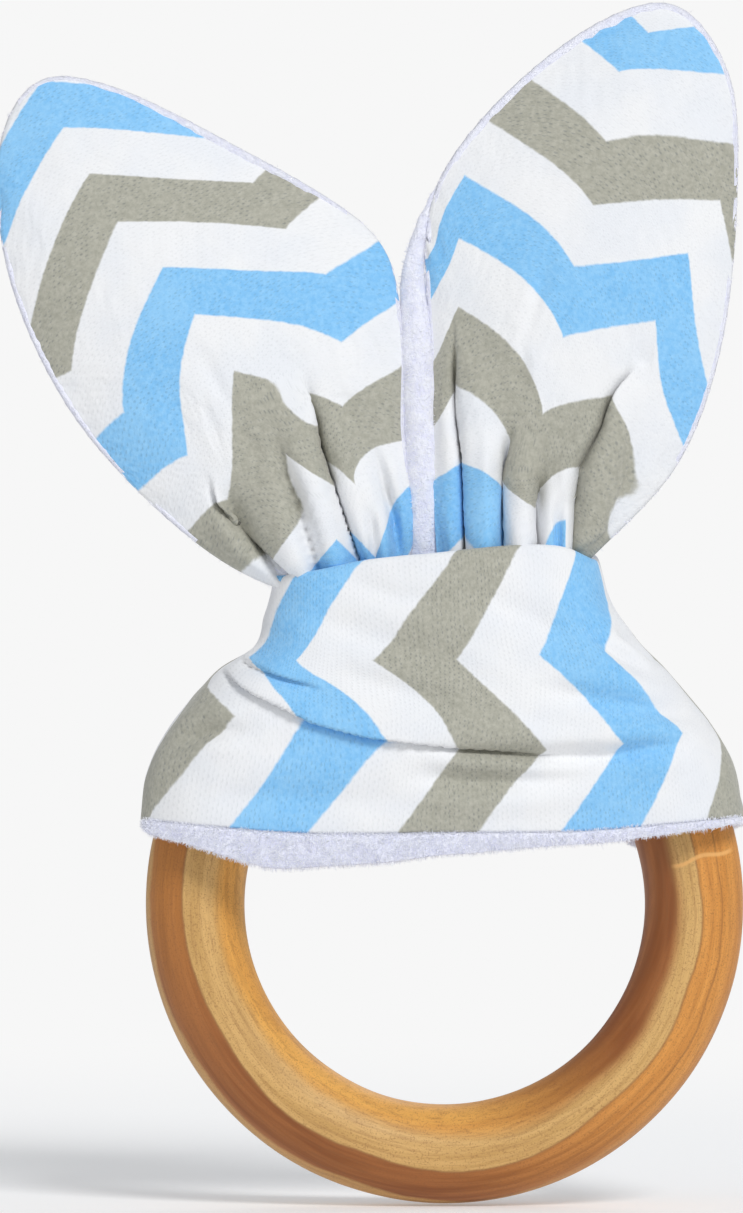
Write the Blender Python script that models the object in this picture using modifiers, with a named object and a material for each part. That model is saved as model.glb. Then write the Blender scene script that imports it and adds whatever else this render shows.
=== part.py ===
"""Teething ring: a round wooden ring with a cloth scarf tied on in a cow hitch.

The scarf has a printed outer layer and a fleece lining. From its middle outward it is a front band, two wraps
round the arms of the ring, two legs that come forward through the hole, two necks and two ears.
Every size is worked out in the ring's own frame: the origin is the ring's centre, +X is to the right,
+Z is up towards the ears, and -Y is the front. RING_CENTRE places that frame, so that the origin of the
whole toy is under the middle of its box.
"""

import math

import bmesh
import bpy
import numpy as np
from mathutils import Vector

# The ring: the common maple teething ring, 3 in over its outside and 2 in over its hole
RING_OUTER_DIAMETER = 0.0762
RING_HOLE_DIAMETER = 0.0508
RING_MINOR_RADIUS = (RING_OUTER_DIAMETER - RING_HOLE_DIAMETER) / 4
RING_MAJOR_RADIUS = (RING_OUTER_DIAMETER + RING_HOLE_DIAMETER) / 4
RING_CENTRE = Vector((0.0085, 0.0033, RING_OUTER_DIAMETER / 2))

# Cloth
CLOTH = 0.0008
GAP = 0.0003
LAYER_STEP = CLOTH + GAP

# Arm wraps: where they start and end along the ring, and round its section (0 is outward, 90 the back)
WRAP_FIRST_ANGLE = 14
WRAP_LAST_ANGLE = 55
WRAP_FRONT_ANGLE = -78
WRAP_HOLE_ANGLE = 195
LINING_RADIUS = RING_MINOR_RADIUS + GAP
PRINT_RADIUS = LINING_RADIUS + LAYER_STEP
REST_SHARE = 0.55  # how much of the printed layer's thickness is left where a wrap is cut flat to rest on
REST_DEPTH = PRINT_RADIUS + REST_SHARE * CLOTH
REST_CUTTER_SIZE = 0.12

# Front band
BAND_SIDE_RADIUS = 0.0398
BAND_TOP_HALF_WIDTH = 0.0203
BAND_BOTTOM = 0.0062
BAND_TOP = 0.0437
BAND_TOP_SLOPE = 0.07
BAND_SIDE_DEPTH = PRINT_RADIUS + CLOTH + GAP
BAND_BULGE = 0.0040
BAND_EDGE_FLATTENING = 0.3

# Legs: flat bundles from the back, under the top of the ring and up its front
LEG_HALF_WIDTH = 0.0052
LEG_INSET = 0.0030
LEG_TOP = 0.0388
LEG_BACK = 0.0015
LEG_BACK_HEIGHT = 0.0118
LEG_FRONT = RING_MINOR_RADIUS + GAP
LEG_TURN_RISE = 0.0060
LEG_TURN_SHARE = 0.45

# Necks and ears. Each ear sways about Y at the band's mouth and flops about X at the top of its neck
SWAY_HEIGHT = 0.0410
FLOP_HEIGHT = 0.0500
NECK_HALF_WIDTH = 0.0082
NECK_DEPTH = 0.0019
NECK_BOTTOM = 0.0412
NECK_TOP = 0.0449
EAR_CROWN = 0.0046
EAR_RIM = 0.0012
SEAM_THREAD_RADIUS = 0.00035
SEAM_SHARE = 0.985
EAR_LAYER_Y = -0.0066
LEFT_NECK_X = -0.0129
RIGHT_NECK_X = 0.0067
LEFT_EAR_OUTLINE = (
    (-0.0060, 0.0500), (-0.0060, 0.0640), (-0.0066, 0.0785), (-0.0135, 0.0890), (-0.0280, 0.0968),
    (-0.0430, 0.1046), (-0.0535, 0.1022), (-0.0562, 0.0900), (-0.0530, 0.0725), (-0.0440, 0.0580),
    (-0.0315, 0.0480), (-0.0160, 0.0458),
)
RIGHT_EAR_OUTLINE = (
    (-0.0034, 0.0500), (-0.0035, 0.0640), (-0.0035, 0.0800), (0.0008, 0.0945), (0.0108, 0.1062),
    (0.0225, 0.1134), (0.0330, 0.1122), (0.0368, 0.1010), (0.0368, 0.0830), (0.0328, 0.0635),
    (0.0225, 0.0490), (0.0080, 0.0458),
)

PIVOT_DISPLAY_SIZE = 0.01

# Grid counts
WRAP_COLUMNS, WRAP_ROWS = 12, 18
BAND_COLUMNS, BAND_ROWS = 20, 10
LEG_COLUMNS, LEG_ROWS = 4, 12
NECK_COLUMNS, NECK_ROWS = 6, 3
EAR_CELLS = 12
RING_MAJOR_SEGMENTS, RING_MINOR_SEGMENTS = 80, 20
SEAM_POINTS = 48


def clear_scene():
    for item in list(bpy.data.objects):
        bpy.data.objects.remove(item, do_unlink=True)


def new_collection(name):
    made = bpy.data.collections.new(name)
    bpy.context.scene.collection.children.link(made)
    return made


def new_material(name, colour, roughness):
    made = bpy.data.materials.new(name)
    made.use_nodes = True
    shader = made.node_tree.nodes["Principled BSDF"]
    shader.inputs["Base Color"].default_value = (*colour, 1.0)
    shader.inputs["Roughness"].default_value = roughness
    shader.inputs["Metallic"].default_value = 0.0
    return made


def new_pivot(name, place, collection, parent=None):
    """An empty on a joint's axis. Its place is in the ring's frame."""
    pivot = bpy.data.objects.new(name, None)
    collection.objects.link(pivot)
    pivot.empty_display_size = PIVOT_DISPLAY_SIZE
    if parent is None:
        pivot.location = RING_CENTRE + Vector(place)
    else:
        pivot.parent = parent
        pivot.location = Vector(place) - (true_place(parent) - RING_CENTRE)
    return pivot


def true_place(item):
    place = Vector(item.location)
    while item.parent is not None:
        item = item.parent
        place += item.location
    return place


def add_part(name, mesh, material, collection, pivot):
    """Links a mesh whose points are in the ring's frame, hung on a pivot."""
    part = bpy.data.objects.new(name, mesh)
    collection.objects.link(part)
    mesh.materials.append(material)
    part.parent = pivot
    part.location = RING_CENTRE - true_place(pivot)
    return part


def sheet_mesh(name, columns, rows, place):
    """A grid bent so that its point (u, v), each from 0 to 1, lies at place(u, v) in the ring's frame."""
    shape = bmesh.new()
    bmesh.ops.create_grid(shape, x_segments=columns, y_segments=rows, size=0.5)
    for vertex in shape.verts:
        vertex.co = Vector(place(vertex.co.x + 0.5, vertex.co.y + 0.5))
    mesh = bpy.data.meshes.new(name)
    shape.to_mesh(mesh)
    shape.free()
    mesh.shade_smooth()
    return mesh


def thicken(part, thickness, side):
    """Solidify: side is 1 to grow along the grid's normals and -1 to grow against them."""
    solid = part.modifiers.new("cloth thickness", "SOLIDIFY")
    solid.thickness = thickness
    solid.offset = side
    solid.use_even_offset = True


def ring_point(angle, section_angle, section_radius):
    """A point round the ring's section. angle runs round the ring from +X, anticlockwise from the front."""
    around, section = math.radians(angle), math.radians(section_angle)
    reach = RING_MAJOR_RADIUS + section_radius * math.cos(section)
    return (reach * math.cos(around), section_radius * math.sin(section), reach * math.sin(around))


def make_ring(material, collection, pivot):
    bpy.ops.mesh.primitive_torus_add(
        major_radius=RING_MAJOR_RADIUS,
        minor_radius=RING_MINOR_RADIUS,
        major_segments=RING_MAJOR_SEGMENTS,
        minor_segments=RING_MINOR_SEGMENTS,
        rotation=(math.pi / 2, 0, 0),
    )
    ring = bpy.context.active_object
    ring.name = "wood_ring"
    for old in list(ring.users_collection):
        old.objects.unlink(ring)
    collection.objects.link(ring)
    ring.parent = pivot
    ring.data.materials.append(material)
    ring.data.shade_smooth()
    return ring


def make_wrap(name, side, radius, material, collection, pivot):
    """One cloth layer round an arm of the ring. side is -1 for the left arm and 1 for the right."""

    def place(u, v):
        along = WRAP_FIRST_ANGLE + u * (WRAP_LAST_ANGLE - WRAP_FIRST_ANGLE)
        section = WRAP_FRONT_ANGLE + v * (WRAP_HOLE_ANGLE - WRAP_FRONT_ANGLE)
        x, y, z = ring_point(along, section, radius)
        return (side * x, y, z)

    wrap = add_part(name, sheet_mesh(name, WRAP_COLUMNS, WRAP_ROWS, place), material, collection, pivot)
    thicken(wrap, CLOTH, -side)
    return wrap


def add_rest_face(wrap, cutter):
    """Cuts the back of a wrap flat, as the cloth lies when the toy rests on its back."""
    cut = wrap.modifiers.new("rest face", "BOOLEAN")
    cut.operation = "DIFFERENCE"
    cut.solver = "EXACT"
    cut.object = cutter


def make_rest_cutter(collection, pivot):
    bpy.ops.mesh.primitive_cube_add(size=REST_CUTTER_SIZE)
    cutter = bpy.context.active_object
    cutter.name = "rest_plane_cutter"
    for old in list(cutter.users_collection):
        old.objects.unlink(cutter)
    collection.objects.link(cutter)
    cutter.parent = pivot
    cutter.location = (0, REST_DEPTH + REST_CUTTER_SIZE / 2, 0)
    cutter.hide_render = True
    cutter.display_type = "WIRE"
    return cutter


def band_half_width(height):
    """The band follows the ring's arms, and its top corners stand straight up."""
    on_arm = math.sqrt(max(BAND_SIDE_RADIUS**2 - height**2, 0))
    return max(on_arm, BAND_TOP_HALF_WIDTH)


def make_band(name, inset, material, collection, pivot):
    """One layer of the front band. inset is how far behind the band's face the layer lies."""

    def place(u, v):
        across = 2 * u - 1
        level = BAND_BOTTOM + v * (BAND_TOP - BAND_BOTTOM)
        x = across * band_half_width(level)
        z = level + BAND_TOP_SLOPE * v * x
        flattened = 1 - BAND_EDGE_FLATTENING * (2 * v - 1) ** 2
        bulge = BAND_BULGE * math.cos(across * math.pi / 2) * flattened
        return (x, -(BAND_SIDE_DEPTH + bulge + 2 * CLOTH + GAP - inset), z)

    band = add_part(name, sheet_mesh(name, BAND_COLUMNS, BAND_ROWS, place), material, collection, pivot)
    thicken(band, CLOTH, -1)
    return band


def leg_path(v, inset):
    """Height and depth of a leg's layer, from the back (v is 0) to under the band's mouth (v is 1)."""
    depth = LEG_FRONT + inset
    if v < LEG_TURN_SHARE:
        angle = v / LEG_TURN_SHARE * math.pi / 2
        y = LEG_BACK - (LEG_BACK + depth) * math.sin(angle)
        z = LEG_BACK_HEIGHT - inset + (LEG_TURN_RISE + inset) * (1 - math.cos(angle))
        return y, z
    rise = (v - LEG_TURN_SHARE) / (1 - LEG_TURN_SHARE)
    start = LEG_BACK_HEIGHT + LEG_TURN_RISE
    return -depth, start + rise * (LEG_TOP - start)


def make_leg(name, centre_x, inset, material, collection, pivot):
    def place(u, v):
        y, z = leg_path(v, inset)
        return (centre_x + (2 * u - 1) * LEG_HALF_WIDTH, y, z)

    leg = add_part(name, sheet_mesh(name, LEG_COLUMNS, LEG_ROWS, place), material, collection, pivot)
    thicken(leg, CLOTH, 1)
    return leg


def make_neck(name, centre_x, side, material, collection, pivot):
    """Half of a gathered neck: side is -1 for the printed front half and 1 for the lining behind it."""

    def place(u, v):
        across = 2 * u - 1
        y = EAR_LAYER_Y + side * GAP / 2
        return (centre_x + across * NECK_HALF_WIDTH, y, NECK_BOTTOM + v * (NECK_TOP - NECK_BOTTOM))

    neck = add_part(name, sheet_mesh(name, NECK_COLUMNS, NECK_ROWS, place), material, collection, pivot)
    thicken(neck, NECK_DEPTH, -side)
    return neck


def closed_curve(points, count):
    """count points, evenly spaced in parameter, on a closed Catmull-Rom curve through the given points."""
    knots = np.array(points)
    made = []
    for step in range(count):
        at = step * len(knots) / count
        index, t = int(at), at % 1
        before, start, end, after = (knots[(index + k) % len(knots)] for k in (-1, 0, 1, 2))
        made.append(
            0.5
            * (
                2 * start
                + (end - before) * t
                + (2 * before - 5 * start + 4 * end - after) * t**2
                + (3 * start - before - 3 * end + after) * t**3
            )
        )
    return np.array(made)


def make_ear_layer(name, outline, side, material, collection, pivot):
    """Half of an ear, crowned away from the other half. side is -1 for the print and 1 for the lining."""
    rim = closed_curve(outline, 8 * SEAM_POINTS)
    middle = rim.mean(axis=0)
    angles = np.arctan2(rim[:, 1] - middle[1], rim[:, 0] - middle[0])
    radii = np.hypot(rim[:, 0] - middle[0], rim[:, 1] - middle[1])
    order = np.argsort(angles)

    def place(u, v):
        a, b = 2 * u - 1, 2 * v - 1
        x, z = a * math.sqrt(1 - b * b / 2), b * math.sqrt(1 - a * a / 2)
        share = min(math.hypot(x, z), 1)
        angle = math.atan2(z, x)
        reach = share * np.interp(angle, angles[order], radii[order], period=2 * math.pi)
        crown = EAR_RIM + (EAR_CROWN - EAR_RIM) * (1 - share**2)
        x, z = middle + reach * np.array((math.cos(angle), math.sin(angle)))
        return (x, EAR_LAYER_Y + side * crown, z)

    layer = add_part(name, sheet_mesh(name, EAR_CELLS, EAR_CELLS, place), material, collection, pivot)
    thicken(layer, CLOTH, -side)
    return layer


def make_seam(name, outline, material, collection, pivot):
    """The sewn edge between an ear's two layers, as one cord."""
    rim = closed_curve(outline, SEAM_POINTS)
    middle = rim.mean(axis=0)
    curve = bpy.data.curves.new(name, "CURVE")
    curve.dimensions = "3D"
    curve.bevel_depth = SEAM_THREAD_RADIUS
    curve.bevel_resolution = 1
    line = curve.splines.new("POLY")
    line.points.add(SEAM_POINTS - 1)
    line.use_cyclic_u = True
    for point, (x, z) in zip(line.points, middle + SEAM_SHARE * (rim - middle)):
        point.co = (x, EAR_LAYER_Y, z, 1)
    seam = bpy.data.objects.new(name, curve)
    collection.objects.link(seam)
    curve.materials.append(material)
    seam.parent = pivot
    seam.location = RING_CENTRE - true_place(pivot)
    return seam


def make_scarf_half(name, neck_x, outline, looks, parts, frame):
    """One leg in the hitch, its neck on the sway pivot and its ear on the flop pivot."""
    sway_pivot = new_pivot(f"{name}_sway_pivot", (neck_x, EAR_LAYER_Y, SWAY_HEIGHT), parts, frame)
    flop_pivot = new_pivot(f"{name}_flop_pivot", (neck_x, EAR_LAYER_Y, FLOP_HEIGHT), parts, sway_pivot)
    leg_x = neck_x - math.copysign(LEG_INSET, neck_x)
    make_leg(f"{name}_leg_print", leg_x, LAYER_STEP, looks["print"], parts, frame)
    make_leg(f"{name}_leg_lining", leg_x, 0, looks["fleece"], parts, frame)
    make_neck(f"{name}_neck_print", neck_x, -1, looks["print"], parts, sway_pivot)
    make_neck(f"{name}_neck_lining", neck_x, 1, looks["fleece"], parts, sway_pivot)
    make_ear_layer(f"{name}_ear_print", outline, -1, looks["print"], parts, flop_pivot)
    make_ear_layer(f"{name}_ear_lining", outline, 1, looks["fleece"], parts, flop_pivot)
    make_seam(f"{name}_ear_seam_thread", outline, looks["thread"], parts, flop_pivot)


def main():
    clear_scene()
    parts = new_collection("teething_ring")
    cutters = new_collection("cutters")
    looks = {
        "wood": new_material("maple", (0.68, 0.42, 0.18), 0.45),
        "print": new_material("printed_cotton", (0.80, 0.86, 0.90), 0.85),
        "fleece": new_material("fleece", (0.86, 0.84, 0.93), 0.95),
        "thread": new_material("thread", (0.88, 0.88, 0.90), 0.7),
    }
    frame = new_pivot("ring_frame", (0, 0, 0), parts)
    make_ring(looks["wood"], parts, frame)
    rest_cutter = make_rest_cutter(cutters, frame)
    for name, side in (("left", -1), ("right", 1)):
        make_wrap(f"{name}_wrap_lining", side, LINING_RADIUS, looks["fleece"], parts, frame)
        wrap = make_wrap(f"{name}_wrap_print", side, PRINT_RADIUS, looks["print"], parts, frame)
        add_rest_face(wrap, rest_cutter)
    make_band("band_print", 0, looks["print"], parts, frame)
    make_band("band_lining", LAYER_STEP, looks["fleece"], parts, frame)
    make_scarf_half("left", LEFT_NECK_X, LEFT_EAR_OUTLINE, looks, parts, frame)
    make_scarf_half("right", RIGHT_NECK_X, RIGHT_EAR_OUTLINE, looks, parts, frame)


main()
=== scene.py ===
"""The looks of a wooden teething ring with a bunny-ear scarf: turned maple, printed knit cotton and fleece.

Cloth is drawn in the ring's own frame, in millimetres: the origin is the ring's centre, +X to the right,
+Z up to the ears and -Y to the front. The ring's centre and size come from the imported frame.
"""

import math

import bpy
import numpy as np
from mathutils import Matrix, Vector


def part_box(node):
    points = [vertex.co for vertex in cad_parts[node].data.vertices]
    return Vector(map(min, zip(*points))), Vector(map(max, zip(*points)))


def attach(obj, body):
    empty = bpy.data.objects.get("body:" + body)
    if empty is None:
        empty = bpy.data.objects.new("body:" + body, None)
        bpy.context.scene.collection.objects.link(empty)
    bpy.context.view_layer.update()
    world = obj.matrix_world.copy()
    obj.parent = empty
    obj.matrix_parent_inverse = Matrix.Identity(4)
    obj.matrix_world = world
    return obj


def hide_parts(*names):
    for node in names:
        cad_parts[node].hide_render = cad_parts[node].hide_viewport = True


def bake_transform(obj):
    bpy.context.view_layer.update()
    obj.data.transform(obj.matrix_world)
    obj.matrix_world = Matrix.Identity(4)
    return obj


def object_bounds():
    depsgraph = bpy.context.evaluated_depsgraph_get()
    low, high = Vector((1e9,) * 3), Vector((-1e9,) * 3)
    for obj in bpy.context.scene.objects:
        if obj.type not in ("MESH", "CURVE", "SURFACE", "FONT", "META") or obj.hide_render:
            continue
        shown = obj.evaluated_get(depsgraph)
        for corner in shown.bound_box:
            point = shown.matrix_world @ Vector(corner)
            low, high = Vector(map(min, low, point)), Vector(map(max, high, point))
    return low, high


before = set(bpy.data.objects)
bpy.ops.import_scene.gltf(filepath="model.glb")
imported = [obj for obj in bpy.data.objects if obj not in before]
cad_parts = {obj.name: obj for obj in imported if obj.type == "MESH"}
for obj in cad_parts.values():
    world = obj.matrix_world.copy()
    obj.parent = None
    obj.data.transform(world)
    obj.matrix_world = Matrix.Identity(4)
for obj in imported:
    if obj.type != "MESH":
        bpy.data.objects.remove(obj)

CAD_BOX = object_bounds()
MM = 0.001

RING_LOW, RING_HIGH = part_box("wood_ring")
RING_CENTRE = np.array((RING_LOW + RING_HIGH) / 2)
SECTION = (RING_HIGH.y - RING_LOW.y) / 2 / MM
MAJOR = (RING_HIGH.x - RING_LOW.x) / 2 / MM - SECTION

# Cloth thicknesses and how far it stays from the wood
PRINT_THICKNESS = 0.45
FLEECE_THICKNESS = 1.1
WOOD_CLEARANCE = 0.25
LINING_SKIN = SECTION + WOOD_CLEARANCE + FLEECE_THICKNESS
PRINT_SKIN = LINING_SKIN + 0.15 + PRINT_THICKNESS

# The zigzag print: s counts half periods across the cloth and t counts stripes along it
ZIGZAG_EAR = 0.70
ZIGZAG_BAND = 0.57
EAR_STRIPE = 16.5
BAND_STRIPE = 20.7


# ---------------------------------------------------------------- small tools


def smooth(x, low=0.0, high=1.0):
    t = np.clip((x - low) / (high - low), 0, 1)
    return t * t * (3 - 2 * t)


def span(places, at):
    """Which span between places each value lies in, how far through it (0 to 1), and the span's width."""
    index = np.clip(np.searchsorted(places, at, side="right") - 1, 0, len(places) - 2)
    width = places[index + 1] - places[index]
    return index, (at - places[index]) / width, width


def cubic(t, width, low, high, low_slope, high_slope):
    return (
        low * (2 * t**3 - 3 * t**2 + 1)
        + low_slope * width * (t**3 - 2 * t**2 + t)
        + high * (3 * t**2 - 2 * t**3)
        + high_slope * width * (t**3 - t**2)
    )


def through(x, knots):
    """A smooth curve through (x, value) knots: cubic between them, flat beyond them."""
    places, values = np.array(knots, float).T
    slopes = np.gradient(values, places)
    i, t, width = span(places, np.clip(np.asarray(x, float), places[0], places[-1]))
    return cubic(t, width, values[i], values[i + 1], slopes[i], slopes[i + 1])


def path_through(points, count):
    """count points along a curve through the given points; points is (knots, rows, 3)."""
    knots = np.asarray(points, float)
    steps = np.linalg.norm(np.diff(knots, axis=0), axis=-1).mean(axis=1)
    places = np.concatenate([[0], np.cumsum(np.sqrt(steps))])
    slopes = np.gradient(knots, places, axis=0)
    i, t, width = span(places, np.linspace(0, places[-1], count))
    t, width = t[:, None, None], width[:, None, None]
    return cubic(t, width, knots[i], knots[i + 1], slopes[i], slopes[i + 1])


def unit(vectors):
    return vectors / np.maximum(np.linalg.norm(vectors, axis=-1, keepdims=True), 1e-9)


def bell(distance, width):
    return np.exp(-((distance / width) ** 2))


def value_noise(x, y, z, seed, scale):
    """Smooth noise between -1 and 1 from a hashed lattice, the same each run."""
    p = np.stack([np.asarray(x, float), np.asarray(y, float), np.asarray(z, float)], -1) / scale
    base = np.floor(p).astype(np.int64)
    f = p - base
    f = f * f * (3 - 2 * f)
    total = 0.0
    for corner in range(8):
        step = np.array([corner & 1, corner >> 1 & 1, corner >> 2 & 1])
        cell = base + step
        key = seed * 2654435761
        for axis, prime in enumerate((73856093, 19349663, 83492791)):
            key = key ^ cell[..., axis] * prime
        key = (key ^ (key >> 13)) * 1274126177
        value = ((key ^ (key >> 16)) & 0xFFFF) / 32767.5 - 1
        weight = np.prod(np.where(step == 1, f, 1 - f), axis=-1)
        total = total + value * weight
    return total


def segment_distance(x, z, start, end):
    """How far points are from a segment, how far along it (0 to 1), and on which side (+ is its left)."""
    start, end = np.array(start, float), np.array(end, float)
    line = end - start
    dx, dz = x - start[0], z - start[1]
    along = np.clip((dx * line[0] + dz * line[1]) / (line @ line), 0, 1)
    away = np.hypot(dx - along * line[0], dz - along * line[1])
    side = np.sign(line[0] * dz - line[1] * dx)
    return away, along, side


def polyline_distance(x, z, points):
    """As segment_distance, for a line of several points."""
    best = None
    count = len(points) - 1
    for index in range(count):
        away, along, side = segment_distance(x, z, points[index], points[index + 1])
        along = (index + along) / count
        if best is None:
            best = [away, along, side]
        else:
            nearer = away < best[0]
            best = [np.where(nearer, new, old) for new, old in zip((away, along, side), best)]
    return best


def off_the_wood(points, least):
    """Pushes points (mm) out to at least this distance from the ring's section centre."""
    radial = np.hypot(points[..., 0], points[..., 2])
    radial = np.where(radial < 1e-6, 1e-6, radial)
    across = radial - MAJOR
    depth = points[..., 1]
    away = np.hypot(across, depth)
    push = np.maximum(least - away, 0) / np.maximum(away, 1e-6)
    moved = points.copy()
    grow = (radial + across * push) / radial
    moved[..., 0] = points[..., 0] * grow
    moved[..., 2] = points[..., 2] * grow
    moved[..., 1] = depth * (1 + push)
    return moved


def ring_point(angle, section_angle, section_radius, side=1):
    """A point round the ring's section; angle and section angle in degrees, 0 outward and 90 the back."""
    around, section = np.radians(angle), np.radians(section_angle)
    reach = MAJOR + section_radius * np.cos(section)
    x, z = side * reach * np.cos(around), reach * np.sin(around)
    return np.stack(np.broadcast_arrays(x, section_radius * np.sin(section), z), -1)


def new_piece(name, points, faces, material, uv=None):
    """A mesh object from points in millimetres in the ring's frame, with an optional cloth map per point."""
    mesh = bpy.data.meshes.new(name)
    mesh.from_pydata((RING_CENTRE + np.asarray(points) * MM).tolist(), [], [list(f) for f in faces])
    mesh.validate()
    mesh.shade_smooth()
    if uv is not None:
        layer = mesh.uv_layers.new(name="cloth")
        index = np.zeros(len(mesh.loops), np.int32)
        mesh.loops.foreach_get("vertex_index", index)
        layer.data.foreach_set("uv", np.asarray(uv, np.float32)[index].ravel())
    made = bpy.data.objects.new(name, mesh)
    bpy.context.scene.collection.objects.link(made)
    mesh.materials.append(material)
    return made


def numbered(rows, columns):
    return np.arange(rows * columns).reshape(rows, columns)


def quads(index):
    """Faces between the neighbours in a grid of point numbers."""
    return np.stack([index[:-1, :-1], index[:-1, 1:], index[1:, 1:], index[1:, :-1]], -1).reshape(-1, 4)


def tube_faces(rows, around):
    """Faces of a tube of points that is closed round and capped at both ends."""
    index = numbered(rows, around)
    sides = quads(np.pad(index, ((0, 0), (0, 1)), mode="wrap"))
    return sides.tolist() + [index[0, ::-1].tolist(), index[-1].tolist()]


def fasten(piece, body, slot, *replaced):
    """Ties a piece to the scarf or the ring, bakes an ear's piece in place, and hides the CAD pieces it
    stands for, given by name.
    """
    if body in ("left", "right"):
        blend_ear(piece)
    else:
        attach(piece, body)
    if replaced:
        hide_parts(*replaced)


def add_solidify(piece, thickness, offset=-1.0):
    made = piece.modifiers.new("thickness", "SOLIDIFY")
    made.thickness = thickness * MM
    made.offset = offset
    return made


def add_subdivision(piece, levels=1):
    made = piece.modifiers.new("smooth", "SUBSURF")
    made.levels = levels
    made.render_levels = levels
    return made


# ---------------------------------------------------------------- cloth simulation

# Cloth is relaxed much larger than life, because the solver's own lengths suit things a metre or two across
CLOTH_SCALE = 0.03
CLOTH_FRAMES = 22
EAR_PRESSURE = 1.0
EAR_BENDING = 0.5
# The farthest the simulation may move a point of an ear, in mm
EAR_CAP = 6.0


CLOTH_SETTINGS = {
    "quality": 8,
    "mass": 0.25,
    "air_damping": 4.0,
    "tension_stiffness": 60,
    "compression_stiffness": 60,
    "shear_stiffness": 20,
    "bending_stiffness": EAR_BENDING,
    "tension_damping": 25,
    "compression_damping": 25,
    "shear_damping": 15,
    "bending_damping": 2,
    "vertex_group_mass": "hold",
    "pin_stiffness": 1.0,
    "use_pressure": True,
    "uniform_pressure_force": EAR_PRESSURE,
}


def cloth_piece(points, faces, rest, hold):
    """An object with Blender's Cloth on it, ready to run."""
    mesh = bpy.data.meshes.new("relaxing")
    mesh.from_pydata((points * CLOTH_SCALE).tolist(), [], [list(f) for f in faces])
    piece = bpy.data.objects.new("relaxing", mesh)
    bpy.context.scene.collection.objects.link(piece)
    group = piece.vertex_groups.new(name="hold")
    for level in np.unique(np.round(hold, 3)):
        if level > 0:
            group.add(np.nonzero(np.round(hold, 3) == level)[0].tolist(), float(level), "REPLACE")
    piece.shape_key_add(name="Basis")
    pattern = piece.shape_key_add(name="pattern")
    pattern.data.foreach_set("co", (rest * CLOTH_SCALE).astype(np.float32).ravel())
    pattern.value = 0.0
    cloth = piece.modifiers.new("cloth", "CLOTH")
    for key, value in CLOTH_SETTINGS.items():
        setattr(cloth.settings, key, value)
    cloth.settings.rest_shape_key = pattern
    cloth.settings.effector_weights.gravity = 0
    cloth.collision_settings.use_collision = False
    cloth.collision_settings.use_self_collision = False
    cloth.point_cache.frame_start = 1
    cloth.point_cache.frame_end = CLOTH_FRAMES
    return piece


def relax_cloth(points, faces, rest, hold):
    """Blender's Cloth on points in mm, with the sewing pattern's own lengths as its rest shape.

    hold is how firmly each point keeps its place. No point moves farther than EAR_CAP.
    """
    scene = bpy.context.scene
    piece = cloth_piece(points, faces, rest, hold)
    for frame_number in range(1, CLOTH_FRAMES + 1):
        scene.frame_set(frame_number)
    shaped = piece.evaluated_get(bpy.context.evaluated_depsgraph_get())
    found = np.zeros(len(points) * 3, np.float32)
    shaped.data.vertices.foreach_get("co", found)
    found = found.reshape(-1, 3).astype(float) / CLOTH_SCALE
    scene.frame_set(1)
    mesh = piece.data
    bpy.data.objects.remove(piece, do_unlink=True)
    bpy.data.meshes.remove(mesh)
    moved = found - points
    if not np.isfinite(moved).all():
        return points
    far = np.linalg.norm(moved, axis=1, keepdims=True)
    print("relaxed: mean move", round(float(far.mean()), 2), "most", round(float(far.max()), 2), "mm")
    return points + moved * np.minimum(1, EAR_CAP / np.maximum(far, 1e-9))


# ---------------------------------------------------------------- materials


class Wire:
    """A shader value. Sums and products of wires add the math nodes that work them out."""

    def __init__(self, nodes, socket):
        self.nodes, self.socket = nodes, socket

    def __add__(self, other):
        return self.nodes.math("ADD", self, other)

    def __sub__(self, other):
        return self.nodes.math("SUBTRACT", self, other)

    def __rsub__(self, other):
        return self.nodes.math("SUBTRACT", other, self)

    def __mul__(self, other):
        return self.nodes.math("MULTIPLY", self, other)

    def __truediv__(self, other):
        return self.nodes.math("DIVIDE", self, other)


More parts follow.
